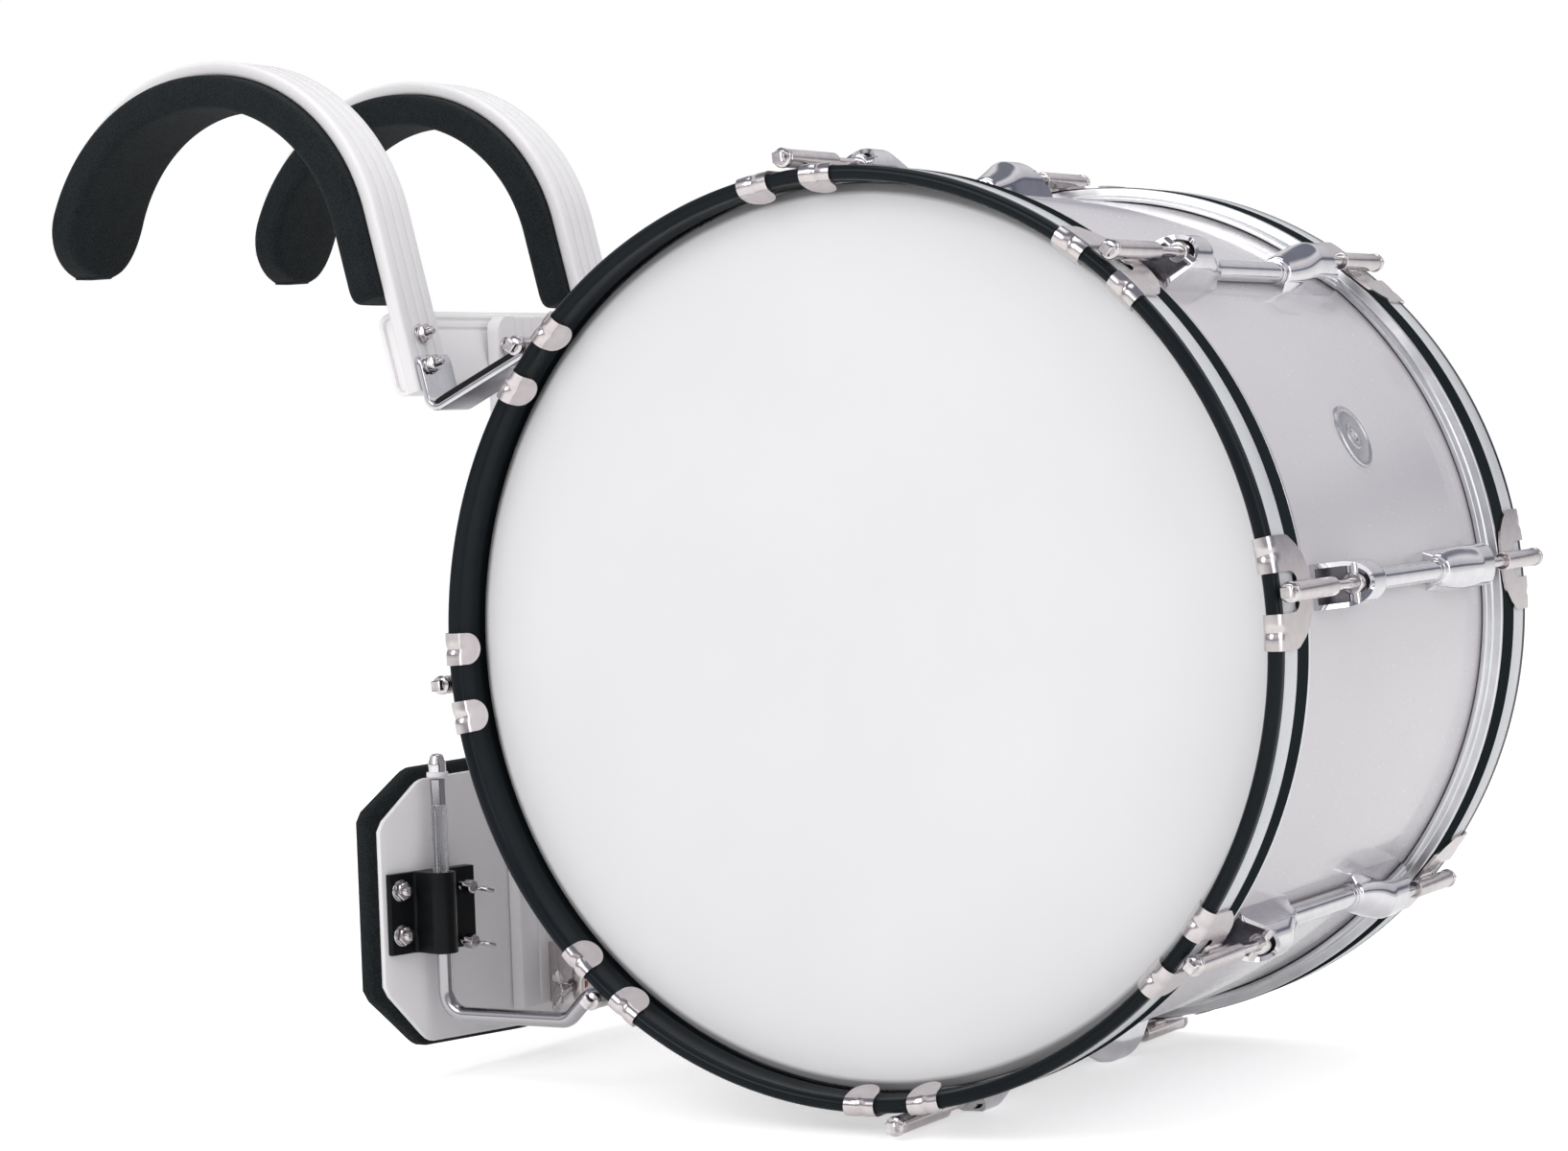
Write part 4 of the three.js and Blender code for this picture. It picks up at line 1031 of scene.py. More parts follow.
def build_hoop(hand, side):
    nose = HOOP_WALL / 2
    centre = HOOP_FACE - nose
    floor = HOOP_RADIUS - INLAY_DEPTH
    in_edge, back_edge = HOOP_EDGE_ROUND
    profile = [
        (HOOP_RADIUS - HOOP_EDGE, HOOP_BACK), (HOOP_RADIUS - in_edge, HOOP_BACK + back_edge),
        (HOOP_RADIUS, HOOP_BACK + HOOP_EDGE), (HOOP_RADIUS, INLAY_BACK), (floor, INLAY_BACK),
        (floor, INLAY_FRONT), (HOOP_RADIUS, INLAY_FRONT),
    ]
    for step in range(NOSE_STEPS + 1):
        angle = math.pi * step / NOSE_STEPS
        profile.append((HOOP_RADIUS - nose + nose * math.cos(angle), centre + nose * math.sin(angle)))
    profile += [(HOOP_RADIUS - HOOP_WALL, HOOP_LEDGE), (HOOP_SKIRT, HOOP_LEDGE), (HOOP_SKIRT, HOOP_BACK)]
    mesh = mesh_from(f"{hand}_hoop_body", revolved(profile, side), hoop_black)
    shade_faces(mesh, band_black, lambda face: abs(face.center.x) / MM < HOOP_BAND_END)
    placed(f"{hand}_counter_hoop", mesh, (f"{hand}_hoop",))
    back = INLAY_BACK + INLAY_SET
    front = INLAY_FRONT - INLAY_SET
    low = floor + INLAY_FLOOR
    high = HOOP_RADIUS - INLAY_FLUSH
    inlay = rounded(ring_profile(low, high, back, front), [0, INLAY_EDGE, INLAY_EDGE, 0], 3)
    mesh = mesh_from(f"{hand}_inlay", revolved(inlay, side), inlay_silver)
    placed(f"{hand}_hoop_inlay", mesh, (f"{hand}_hoop",))


def claw_stations():
    """Rows of the claw's sheet: length along it, inner edge and outer edge from its middle line."""
    inner = CLAW_SPREAD - CLAW_HALF
    outer = CLAW_SPREAD + CLAW_HALF
    front = HOOP_FACE - HOOP_WALL / 2
    bend = math.radians(CLAW_TURN) * (HOOP_WALL / 2 + CLAW_LIFT + CLAW_SHEET / 2)
    corners = [(CLAW_TAIL + run, out) for run, out in CLAW_SIDE]
    corners += [(CLAW_SHOULDER, outer), (front, outer)]
    side = rounded(corners, CLAW_SIDE_BENDS, 6, closed=False)

    def outer_at(x):
        for low, high in zip(side, side[1:]):
            if x <= high.x:
                return low.y + (high.y - low.y) * max(x - low.x, 0) / max(high.x - low.x, MM)
        return outer

    rows = []
    for step in range(CLAW_TAIL_STEPS):
        x = CLAW_TAIL + (CLAW_WINDOW - CLAW_TAIL) * step / CLAW_TAIL_STEPS
        rows.append((x, 0, outer_at(x)))
    for step in range(CLAW_WINDOW_STEPS + 1):
        turn = math.pi / 2 * step / CLAW_WINDOW_STEPS
        x = CLAW_WINDOW + inner * (1 - math.cos(turn))
        rows.append((x, inner * math.sin(turn), outer_at(x)))
    straight = CLAW_WINDOW + inner
    for step in range(1, CLAW_STRAIGHT_STEPS + 1):
        rows.append((straight + (front - straight) * step / CLAW_STRAIGHT_STEPS, inner, outer))
    for step in range(1, CLAW_BEND_STEPS + 1):
        rows.append((front + bend * step / CLAW_BEND_STEPS, inner, outer))
    disc = front + bend + CLAW_REACH - CLAW_HALF
    for step in range(DISC_STEPS + 1):
        turn = math.pi / 2 * DISC_TURN_SHARE * step / DISC_STEPS
        half = CLAW_HALF * math.cos(turn)
        rows.append((disc + CLAW_HALF * math.sin(turn), CLAW_SPREAD - half, CLAW_SPREAD + half))
    return rows, front, bend


def claw_point(along, across, front, bend):
    """A point on the middle of the claw's sheet, wrapped over the hoop's nose and round the drum."""
    nose = HOOP_WALL / 2
    radius = nose + CLAW_LIFT + CLAW_SHEET / 2
    centre = HOOP_RADIUS - nose
    turn = math.radians(CLAW_TURN)
    if along <= front:
        x, out = along, centre + radius
    elif along <= front + bend:
        angle = turn * (along - front) / bend
        x, out = front + radius * math.sin(angle), centre + radius * math.cos(angle)
    else:
        past = along - front - bend
        x = front + radius * math.sin(turn) + past * math.cos(turn)
        out = centre + radius * math.cos(turn) - past * math.sin(turn)
    if abs(across) > CLAW_SPREAD - CLAW_HALF and along > front - DIMPLE_START:
        offset = across - math.copysign(CLAW_SPREAD, across)
        run = along - front - bend * DIMPLE_PLACE_SHARE
        dip = math.exp(-(offset / DIMPLE_WIDTH) ** 2 - (run / (DIMPLE_LENGTH / 2)) ** 4)
        away = Vector((x - front, out - centre)).normalized()
        x -= away.x * DIMPLE_DEPTH * dip
        out -= away.y * DIMPLE_DEPTH * dip
    angle = across / (HOOP_RADIUS + CLAW_LIFT)
    return Vector((x, out * math.sin(angle), out * math.cos(angle)))


def claw_sheet():
    """Both halves of the claw's sheet, as one layer."""
    rows, front, bend = claw_stations()
    halves = []
    width = CLAW_ACROSS + 1
    for side in (-1, 1):
        points = []
        for along, inner, outer in rows:
            for i in range(width):
                across = inner + (outer - inner) * i / CLAW_ACROSS
                points.append(claw_point(along, side * across, front, bend))
        faces = []
        for row in range(len(rows) - 1):
            for a in range(row * width, row * width + CLAW_ACROSS):
                face = (a, a + 1, a + width + 1, a + width)
                faces.append(face if side > 0 else face[::-1])
        halves.append((points, faces))
    return joined(halves)


def claw_saddle():
    """The rib that joins the claw's sheet to its sleeve."""
    rings = []
    low = HOOP_RADIUS + CLAW_LIFT + CLAW_SHEET / 2
    for run, width in SADDLE_ROWS:
        half = width / 2
        outline = [
            (-half - SADDLE_FLARE, low), (-half - SADDLE_NECK, low + SADDLE_RISE), (-half, ROD_RADIUS),
            (half, ROD_RADIUS), (half + SADDLE_NECK, low + SADDLE_RISE), (half + SADDLE_FLARE, low),
        ]
        rings.append([Vector((CLAW_TAIL + run, y, z)) for y, z in outline])
    return skin(rings)


def build_claws():
    sheet = mesh_from("claw_sheet", claw_sheet(), nickel, CLAW_CREASE)
    outer = SLEEVE_SIZE / 2
    profile = rounded(ring_profile(outer - SLEEVE_WALL, outer, SLEEVE_START, SLEEVE_END), SLEEVE_EDGES, 4)
    sleeve = moved(turned(looped(profile), FINE_SIDES), along_drum(ROD_RADIUS))
    sleeve = mesh_from("claw_sleeve", joined([sleeve, claw_saddle()]), nickel)
    for hand, side in SIDES:
        for number in range(1, LUG_COUNT + 1):
            place = on_drum(side, lug_angle(number))
            node = f"{hand}_claw_{number}"
            piece = placed(f"{node}_sheet", sheet, (node,), matrix=place)
            thick = piece.modifiers.new("thickness", "SOLIDIFY")
            thick.thickness = CLAW_SHEET * MM
            thick.offset = 0
            thick.use_even_offset = True
            soften(piece, CLAW_EDGE, segments=2, angle=60)
            placed(f"{node}_sleeve", sleeve, (node,), matrix=place)


def build_rods():
    """Tension rods: a shank, a flanged head and a square for the key."""
    along = along_drum(ROD_RADIUS)
    tip = LUG_END - NUT_SETBACK - NUT_LENGTH - ROD_PAST_NUT
    shank = turned(ring_profile(0, ROD_SIZE / 2, tip, SLEEVE_END + ROD_OVERLAP), ROD_SIDES)
    start = SLEEVE_END + HEAD_GAP
    top = start + HEAD_THICKNESS
    flange = rounded([
        (0, start), (HEAD_SIZE / 2, start), (HEAD_SIZE / 2, start + HEAD_RIM),
        (HEAD_SIZE / 2 - HEAD_CHAMFER, top), (0, top),
    ], HEAD_EDGES, 4)
    rings = []
    for share, size in KEY_TAPER_SHARES:
        outline = rounded(rectangle(KEY_SIZE * size, KEY_SIZE * size), KEY_EDGE, 2)
        x = top - KEY_SINK + (KEY_LENGTH + KEY_SINK) * share
        rings.append([Vector((x, p.x, p.y + ROD_RADIUS)) for p in outline])
    rod = mesh_from("tension_rod_shank", moved(shank, along), screw_chrome)
    head = joined([moved(turned(flange, FINE_SIDES), along), skin(rings)])
    head = mesh_from("tension_rod_head", head, screw_chrome)
    for hand, side in SIDES:
        for number in range(1, LUG_COUNT + 1):
            node = f"{hand}_tension_rod_{number}"
            place = on_drum(side, lug_angle(number))
            placed(f"{node}_shank", rod, (node,), f"{node}_body", place)
            placed(f"{node}_head", head, (node,), f"{node}_body", place)


# Carrier


def arch_stop(radius, angle):
    """A point (y, z) on the shoulder arch and the direction out of the arch there."""
    out = Vector((math.cos(angle), math.sin(angle)))
    return out * radius - Vector((0, ARCH_DROP)), out


def leg_stop(radius, drop):
    """A point on the straight front leg at a depth below the origin."""
    last, out = arch_stop(radius, math.pi - math.radians(LEG_TILT))
    down = Vector((-out.y, out.x))
    return last + down * ((-drop - last.y) / down.y), out


def leg_back(z):
    point, out = leg_stop(BAR_RADIUS, -z)
    return point.x


def ring_at(x, point, out, section):
    """Sets a section of (across, out) points on a place (y, z), as a ring."""
    return [Vector((x + across, point.x + out.x * up, point.y + out.y * up)) for across, up in section]


def swept(stops, section, x):
    """Skins sections along stops of (point, out direction)."""
    return skin([ring_at(x, point, out, section(i)) for i, (point, out) in enumerate(stops)])


def groove_points(place, top):
    """A groove in an outline, as (across, up) points that run towards lower places."""
    return [
        (place + side * GROOVE_WIDTH / 2, top - depth * GROOVE_DEPTH) for side, depth in GROOVE_SHARES
    ]


def grooved(width, thickness):
    """The section of a bar with grooves along its outer face."""
    half = width / 2
    grooves = [point for place in GROOVE_PLACES for point in groove_points(place, thickness)]
    outline = [(-half, 0), (half, 0), (half, thickness), *grooves, (-half, thickness)]
    return rounded(outline, [BAR_CORNER] * 3 + [GROOVE_EDGE] * len(grooves) + [BAR_CORNER], 3)


def build_bar(hand, side):
    section = grooved(BAR_WIDTH, BAR_THICKNESS)
    start = math.radians(BAR_REAR)
    end = math.pi - math.radians(LEG_TILT)
    stops = [arch_stop(BAR_RADIUS, start + (end - start) * i / ARCH_STEPS) for i in range(ARCH_STEPS + 1)]
    stops.append(leg_stop(BAR_RADIUS, BAR_DROP))
    mesh = mesh_from(f"{hand}_bar", swept(stops, lambda i: section, side * BAR_X), bar_white)
    piece = placed(f"{hand}_arched_bar", mesh, (f"{hand}_shoulder_bar",))
    soften(piece, BAR_EDGE, segments=2, angle=70)


def pad_outline(width, thickness, crown):
    """A pad's section: crowned towards the shoulder, with large round corners."""
    half = width / 2
    corner = min(PAD_CORNER, half / 2)
    edge = crown * width / PAD_REAR_WIDTH
    face = []
    for i in range(1, PAD_FACE_STEPS):
        across = (half - corner) * (2 * i / PAD_FACE_STEPS - 1)
        face.append((across, edge * (across / half) ** 2))
    outline = [(-half, edge), *face, (half, edge), (half, thickness), (-half, thickness)]
    back = corner * PAD_BACK_CORNER_SHARE
    return rounded(outline, [corner] + [0] * len(face) + [corner, back, back], 6)


def build_pad(hand, side):
    stops = []
    widths = []
    start = PAD_TONGUE / ARCH_RADIUS
    end = math.pi - math.radians(LEG_TILT)
    for i in range(TONGUE_STEPS):
        turn = math.pi / 2 * i / TONGUE_STEPS
        stops.append(arch_stop(ARCH_RADIUS, start * (1 - math.cos(turn))))
        widths.append(PAD_REAR_WIDTH * max(math.sin(turn), PAD_TIP_SHARE))
    for i in range(ARCH_STEPS + 1):
        share = i / ARCH_STEPS
        stops.append(arch_stop(ARCH_RADIUS, start + (end - start) * share))
        widths.append(PAD_REAR_WIDTH + (PAD_FRONT_WIDTH - PAD_REAR_WIDTH) * share)
    for i in range(PAD_END_STEPS + 1):
        turn = math.pi / 2 * i / PAD_END_STEPS
        stops.append(leg_stop(ARCH_RADIUS, PAD_DROP - PAD_END_RUN + PAD_END_RUN * math.sin(turn)))
        widths.append(PAD_FRONT_WIDTH - PAD_END_NARROWING * (1 - math.cos(turn)))

    def section(i):
        to_end = min(i, len(stops) - 1 - i) / PAD_SQUEEZE_STOPS
        squeeze = 1 - PAD_SQUEEZE_SHARE * max(0, 1 - to_end) ** 2
        low = PAD_THICKNESS * (1 - squeeze)
        outline = pad_outline(widths[i], PAD_THICKNESS, PAD_CROWN)
        return [(across, low + up * squeeze) for across, up in outline]

    mesh = mesh_from(f"{hand}_pad", swept(stops, section, side * BAR_X), pad_foam, PAD_CREASE)
    piece = placed(f"{hand}_foam_pad", mesh, (f"{hand}_shoulder_pad",))
    soften(piece, PAD_EDGE, segments=3, angle=70)


def crossbar_place(length):
    """Stands a slab of the crossbar's section along X, leaning with the legs."""
    tilt = math.radians(LEG_TILT)
    z = CROSSBAR_HEIGHT / 2 * math.cos(tilt) - BAR_DROP
    y = leg_back(z) + (SEAT + CROSSBAR_DEPTH / 2) / math.cos(tilt)
    upright = basis((0, 1, 0), (0, 0, 1), (1, 0, 0), (-length / 2, 0, 0))
    return Matrix.Translation((0, y, z)) @ Matrix.Rotation(-tilt, 4, "X") @ upright


def build_crossbar():
    """A hollow bar with grooves near its top, and a core that leaves a shallow open end."""
    half = CROSSBAR_DEPTH / 2
    tall = CROSSBAR_HEIGHT / 2
    grooves = []
    for drop in CROSSBAR_GROOVE_DROPS:
        grooves += [(-up, place) for place, up in groove_points(tall - drop, half)]
    outline = [(-half, -tall), (half, -tall), (half, tall), (-half, tall), *grooves]
    corners = [CROSSBAR_CORNER] * 3 + [CROSSBAR_BROW]
    loop = rounded(outline, corners + [GROOVE_EDGE] * len(grooves), 4)
    wall = 2 * CROSSBAR_WALL
    hole = rounded(
        rectangle(CROSSBAR_DEPTH - wall, CROSSBAR_HEIGHT - wall), CROSSBAR_CORNER - CROSSBAR_WALL, 5)
    tube = slab(loop, [hole], CROSSBAR_LENGTH, CROSSBAR_EDGE)
    mesh = mesh_from("crossbar_tube", moved(tube, crossbar_place(CROSSBAR_LENGTH)), panel_white_painted_light)
    placed("hollow_crossbar", mesh, ("crossbar",))
    length = CROSSBAR_LENGTH - 2 * CROSSBAR_RECESS
    core = slab(hole, [], length, CORE_EDGE)
    mesh = mesh_from("crossbar_core", moved(core, crossbar_place(length)), panel_white_painted_light)
    placed("crossbar_white_core", mesh, ("crossbar",))


def build_post():
    """A wide grooved bar whose top corners are cut round."""
    section = grooved(POST_WIDTH, POST_FRONT - PLATE_FRONT - SEAT)
    ends = [(-POST_BOTTOM, 0)]
    for step in range(POST_ROUND_STEPS + 1):
        turn = math.pi / 2 * step / POST_ROUND_STEPS
        ends.append((-POST_TOP - POST_ROUND * (1 - math.sin(turn)), POST_ROUND * (1 - math.cos(turn))))
    rings = []
    for z, inset in ends:
        limit = POST_WIDTH / 2 - inset
        rings.append([
            Vector((max(min(across, limit), -limit), -PLATE_FRONT - SEAT - out, z))
            for across, out in section
        ])
    mesh = mesh_from("post", skin(rings), panel_white_painted_light, POST_CREASE)
    soften(placed("grooved_post", mesh, ("centre_post",)), POST_EDGE, segments=2, angle=60)


def panel_loop(grow):
    """The belly plate's outline as (x, z) from its centre: top edge left to right, then bottom edge back."""
    wide = PLATE_HALF + grow
    tall = PLATE_HEIGHT / 2 + grow
    corners = [
        (-wide, tall - PLATE_TOP_CUT), (-PLATE_FOLD, tall), (PLATE_FOLD, tall), (wide, tall - PLATE_TOP_CUT),
        (wide, PLATE_BOTTOM_CUT - tall), (PLATE_FOLD, -tall), (0, -tall - PLATE_SAG), (-PLATE_FOLD, -tall),
        (-wide, PLATE_BOTTOM_CUT - tall),
    ]
    corner, fold = PANEL_CORNER, PANEL_FOLD_ROUND
    path = rounded(corners, [corner, fold, fold, corner, corner, fold, PANEL_SAG_ROUND, fold, corner], 8)
    lowest = min(p.x for p in path)
    highest = max(p.x for p in path)
    top = []
    bottom = []
    for i in range(PANEL_STEPS + 1):
        x = lowest + (highest - lowest) * (i / PANEL_STEPS)
        heights = []
        for a, b in zip(path, path[1:] + path[:1]):
            low, high = min(a.x, b.x), max(a.x, b.x)
            if high - low < PANEL_UPRIGHT:
                if abs(x - low) < PANEL_TOLERANCE:
                    heights.extend((a.y, b.y))
            elif low - PANEL_UPRIGHT <= x <= high + PANEL_UPRIGHT:
                heights.append(a.y + (b.y - a.y) * (x - a.x) / (b.x - a.x))
        top.append((x, max(heights)))
        bottom.append((x, min(heights)))
    return top, bottom


def fold_back(x):
    """How far back the outer panels sweep at a distance from the middle, with a rounded fold."""
    past = abs(x) - PLATE_FOLD
    slope = math.tan(math.radians(PLATE_SWEEP))
    reach = PLATE_FOLD_REACH
    if past <= -reach:
        return 0
    if past >= reach:
        return past * slope
    return slope * (past + reach) ** 2 / (4 * reach)


def panelled(stops, middle):
    """Skins the folded outline through stops of (grow, distance behind the plate's front)."""
    rings = []
    for grow, behind in stops:
        top, bottom = panel_loop(grow)
        rings.append([
            Vector((x, behind - PLATE_FRONT + fold_back(x), z + middle))
            for x, z in [*top, *reversed(bottom)]
        ])
    points, faces = skin(rings, close_ends=False)
    count = len(rings[0])
    for start in (0, (len(stops) - 1) * count):
        for j in range(PANEL_STEPS):
            a = start + j
            b = start + count - 1 - j
            faces.append((a, a + 1, b - 1, b))
    return points, faces


def build_plate():
    """The folded belly plate and the foam pad behind it."""
    middle = -PLATE_TOP - PLATE_HEIGHT / 2
    back = PLATE_THICKNESS
    edge = PLATE_EDGE
    cut = edge * PLATE_EDGE_SHARE
    stops = [(-edge, 0), (-cut, cut), (0, edge), (0, back - edge), (-cut, back - cut), (-edge, back)]
    mesh = mesh_from("plate", panelled(stops, middle), panel_white_painted_light, PLATE_CREASE)
    placed("folded_belly_plate", mesh, ("belly_plate",))
    stops = [
        (BELLY_OVERLAP + BELLY_RIM * grow, back + SEAT + BELLY_THICKNESS * depth)
        for depth, grow in BELLY_SHARES
    ]
    mesh = mesh_from("belly_foam", panelled(stops, middle + BELLY_RAISE), pad_foam, PAD_CREASE)
    placed("belly_foam_pad", mesh, ("belly_pad",))


def tube_along(stops, radii, x):
    """A round tube through stops of (point, direction) in (y, z)."""
    return skin([
        ring_at(x, point, Vector((-direction.y, direction.x)), circle(0, 0, radius, ROD_SIDES))
        for (point, direction), radius in zip(stops, radii)
    ])


def support_path():
    """The J rod's line, as (point, direction) stops: down, forward, up a ramp and under the drum's rod."""
    under = rod_place(LOWER_ROD)
    lift = under.y - ROD_SIZE / 2 - SEAT - SUPPORT_SIZE / 2
    low = -SUPPORT_LOW
    ramp_end = under.x + RAMP_BACK
    tip_corner = Vector((under.x - TIP_FRONT, lift))
    rise = math.radians(TIP_RISE)
    corners = [
        (-SUPPORT_Y, -SUPPORT_TOP - CAP_LENGTH - COLLAR_LENGTH), (-SUPPORT_Y, low),
        (ramp_end + lift - low, low), (ramp_end, lift), tip_corner,
        tip_corner + Vector((-math.cos(rise), math.sin(rise))) * TIP_LENGTH,
    ]
    bend = SUPPORT_BEND
    path = rounded(corners, [0, SUPPORT_FOOT_BEND, bend, bend, bend, 0], 12, closed=False)
    stops = []
    for i, point in enumerate(path):
        before = path[max(i - 1, 0)]
        after = path[min(i + 1, len(path) - 1)]
        stops.append((point, (after - before).normalized()))
    return stops


def build_support(hand, side):
    """A J rod with its knurled zone, its cap and its collar."""
    node = f"{hand}_j_rod"
    x = side * SUPPORT_X
    plain = SUPPORT_SIZE / 2
    first, *rest = support_path()
    down = Vector((0, -1))
    stops = [first, *[(first[0] + down * drop, down) for drop in KNURL_DROPS], *rest]
    radii = [plain] * len(stops)
    radii[2] = radii[3] = plain + KNURL_RISE
    last, direction = stops[-1]
    radii[-1:] = [plain - cut for cut in SUPPORT_TIP_EDGES]
    stops.insert(len(stops) - 1, (last - direction * SUPPORT_TIP_RUN, direction))
    rod = mesh_from(f"{hand}_j_tube", tube_along(stops, radii, x), knurled)
    placed(f"{node}_bent_rod", rod, (node,), f"{node}_body")
    top = -SUPPORT_TOP
    base = top - CAP_LENGTH
    crown, chamfer = CAP_CROWN
    cap = rounded([
        (0, base + CAP_OVERLAP), (CAP_SIZE / 2, base + CAP_OVERLAP), (CAP_SIZE / 2, top - CAP_SHOULDER),
        (crown, top - chamfer), (0, top),
    ], CAP_EDGES, 6)
    half = COLLAR_LENGTH / 2
    collar = rounded(ring_profile(0, COLLAR_SIZE / 2, base - half, base + half), COLLAR_EDGES, 4)
    place = Matrix.Translation((x, -SUPPORT_Y, 0))
    for name, profile, material in (("cap", cap, chrome), ("collar", collar, collar_plastic)):
        mesh = mesh_from(f"{node}_{name}", moved(turned(profile), place), material)
        placed(f"{node}_{name}_turned", mesh, (node,), f"{node}_body")


def clamp_place(side):
    """Directions inward along the panel and out of it, the rod's axis and its height over the panel."""
    turn = math.radians(PLATE_SWEEP)
    inward = Vector((-side * math.cos(turn), -math.sin(turn), 0))
    out = Vector((side * math.sin(turn), -math.cos(turn), 0))
    axis = Vector((side * SUPPORT_X, -SUPPORT_Y, 0))
    corner = Vector((side * PLATE_FOLD, -PLATE_FRONT, 0))
    return inward, out, axis, (axis - corner).dot(out) - SEAT


def build_clamp(hand, side):
    """A channel over the rod with a flange on each side, and its two bolts."""
    inward, out, axis, depth = clamp_place(side)
    bore = SUPPORT_SIZE / 2 + CLAMP_BORE_GAP
    channel = bore + CLAMP_WALL
    arc = []
    for i in range(CLAMP_ARC_STEPS + 1):
        angle = math.pi * (1 - i / CLAMP_ARC_STEPS)
        arc.append((channel * math.cos(angle), depth + channel * math.sin(angle)))
    outline = [
        (-CLAMP_OUTER, 0), (-CLAMP_OUTER, CLAMP_BASE), (-channel, CLAMP_BASE), *arc,
        (channel, CLAMP_FLANGE), (CLAMP_INNER, CLAMP_FLANGE), (CLAMP_INNER, 0),
    ]
    outer_corners, inner_corners = CLAMP_CORNERS
    loop = rounded(outline, outer_corners + [0] * len(arc) + inner_corners, 4)
    body = slab(loop, [circle(0, depth, bore, ROUND_SIDES)], CLAMP_HEIGHT, CLAMP_EDGE, 3)
    foot = axis - out * depth
    place = basis(inward, out, (0, 0, 1), (foot.x, foot.y, -CLAMP_TOP - CLAMP_HEIGHT))
    mesh = mesh_from(f"{hand}_clamp_body", moved(body, place), clamp_black)
    placed(f"{hand}_rod_clamp", mesh, (f"{hand}_clamp",))
    for number, drop in enumerate(CLAMP_BOLT_DROPS, 1):
        spot = foot - inward * CLAMP_BOLT_OUT + out * CLAMP_BASE
        bolt_at(f"{hand}_clamp_bolt_{number}", (spot.x, spot.y, -drop), out, CLAMP_NUT)


def hex_nut(across, height, stud, washer):
    """A hex nut on a washer, with the bolt's threaded end standing out of it."""
    profile = rounded(ring_profile(0, washer / 2, 0, NUT_WASHER), NUT_WASHER_EDGES, 3)
    size = across / math.sqrt(3)
    rings = []
    for rise, scale in NUT_TAPER_SHARES:
        corners = [(x * scale, y * scale) for x, y in circle(0, 0, size, 6)]
        rings.append([Vector((p.x, p.y, NUT_SEAT + height * rise)) for p in rounded(corners, NUT_CORNER, 2)])
    radius = across * STUD_SHARE
    top = NUT_SEAT + height + stud
    thread = [(0, NUT_SEAT), (radius, NUT_SEAT)]
    turns = int(stud / STUD_PITCH) + 2
    for i in range(turns):
        z = NUT_SEAT + height - STUD_PITCH + (stud + STUD_RUN_OUT) * i / turns
        thread += [(radius, z), (radius - STUD_DEPTH, z + STUD_FLANK)]
    thread += [(radius - cut, top - drop) for cut, drop in STUD_END]
    thread.append((0, top))
    return joined([turned(profile, ROD_SIDES), skin(rings), turned(thread, STUD_SIDES)])


bolt_meshes = {}


def bolt_at(name, spot, direction, nut):
    """Puts a nut of (across, height, stud, washer) on a spot; equal nuts share one mesh."""
    if nut not in bolt_meshes:
        bolt_meshes[nut] = mesh_from(f"nut_{len(bolt_meshes)}", hex_nut(*nut), screw_chrome)
    z = Vector(direction).normalized()
    x = Vector(NUT_TURN)
    x = (x - z * x.dot(z)).normalized()
    placed(name, bolt_meshes[nut], matrix=basis(x, z.cross(x), z, spot))


def wing_screw_parts(reach):
    """A wing screw on Z: the shaft points down, and the wings rise on both sides of the boss."""
    gap = SHAFT_GAP
    rim = BOSS_SIZE / 2
    end = gap + BOSS_LENGTH
    boss = rounded([
        (0, gap), (rim, gap), (rim - BOSS_TAPER, gap + BOSS_RIM), (BOSS_CROWN, end), (0, end),
    ], BOSS_EDGES, 5)
    shaft = SHAFT_SIZE / 2
    threads = [(0, -reach), (shaft - SHAFT_CHAMFER, -reach), (shaft, SHAFT_CHAMFER - reach)]
    z = SHAFT_CHAMFER - reach
    while z < gap - THREAD_PITCH / 2:
        for run, depth in THREAD_FLANKS:
            threads.append((shaft - depth, z + run))
        z += THREAD_PITCH
    threads += [(shaft, gap + SHAFT_OVERLAP), (0, gap + SHAFT_OVERLAP)]
    half = WING_SPAN / 2
    low = gap + WING_THICKNESS
    neck = rim / 2
    right = [(half * out, low + WING_HEIGHT * up + shift) for out, up, shift in WING_POINTS]
    saddle = low + WING_HEIGHT * WING_SADDLE_SHARE
    right = [(neck, low), *right, (neck + WING_SADDLE_REACH, saddle + WING_SADDLE_REACH), (neck, saddle)]
    left = [(-x, y) for x, y in reversed(right)]
    outline = rounded([*right, *left], WING_BENDS + WING_BENDS[::-1], 6)
    blade = slab(outline, [], WING_THICKNESS, WING_EDGE, 4)
    upright = Matrix.Translation((0, WING_THICKNESS / 2, 0)) @ QUARTER_TURN
    return joined([turned(boss), turned(threads, THREAD_SIDES), moved(blade, upright)])


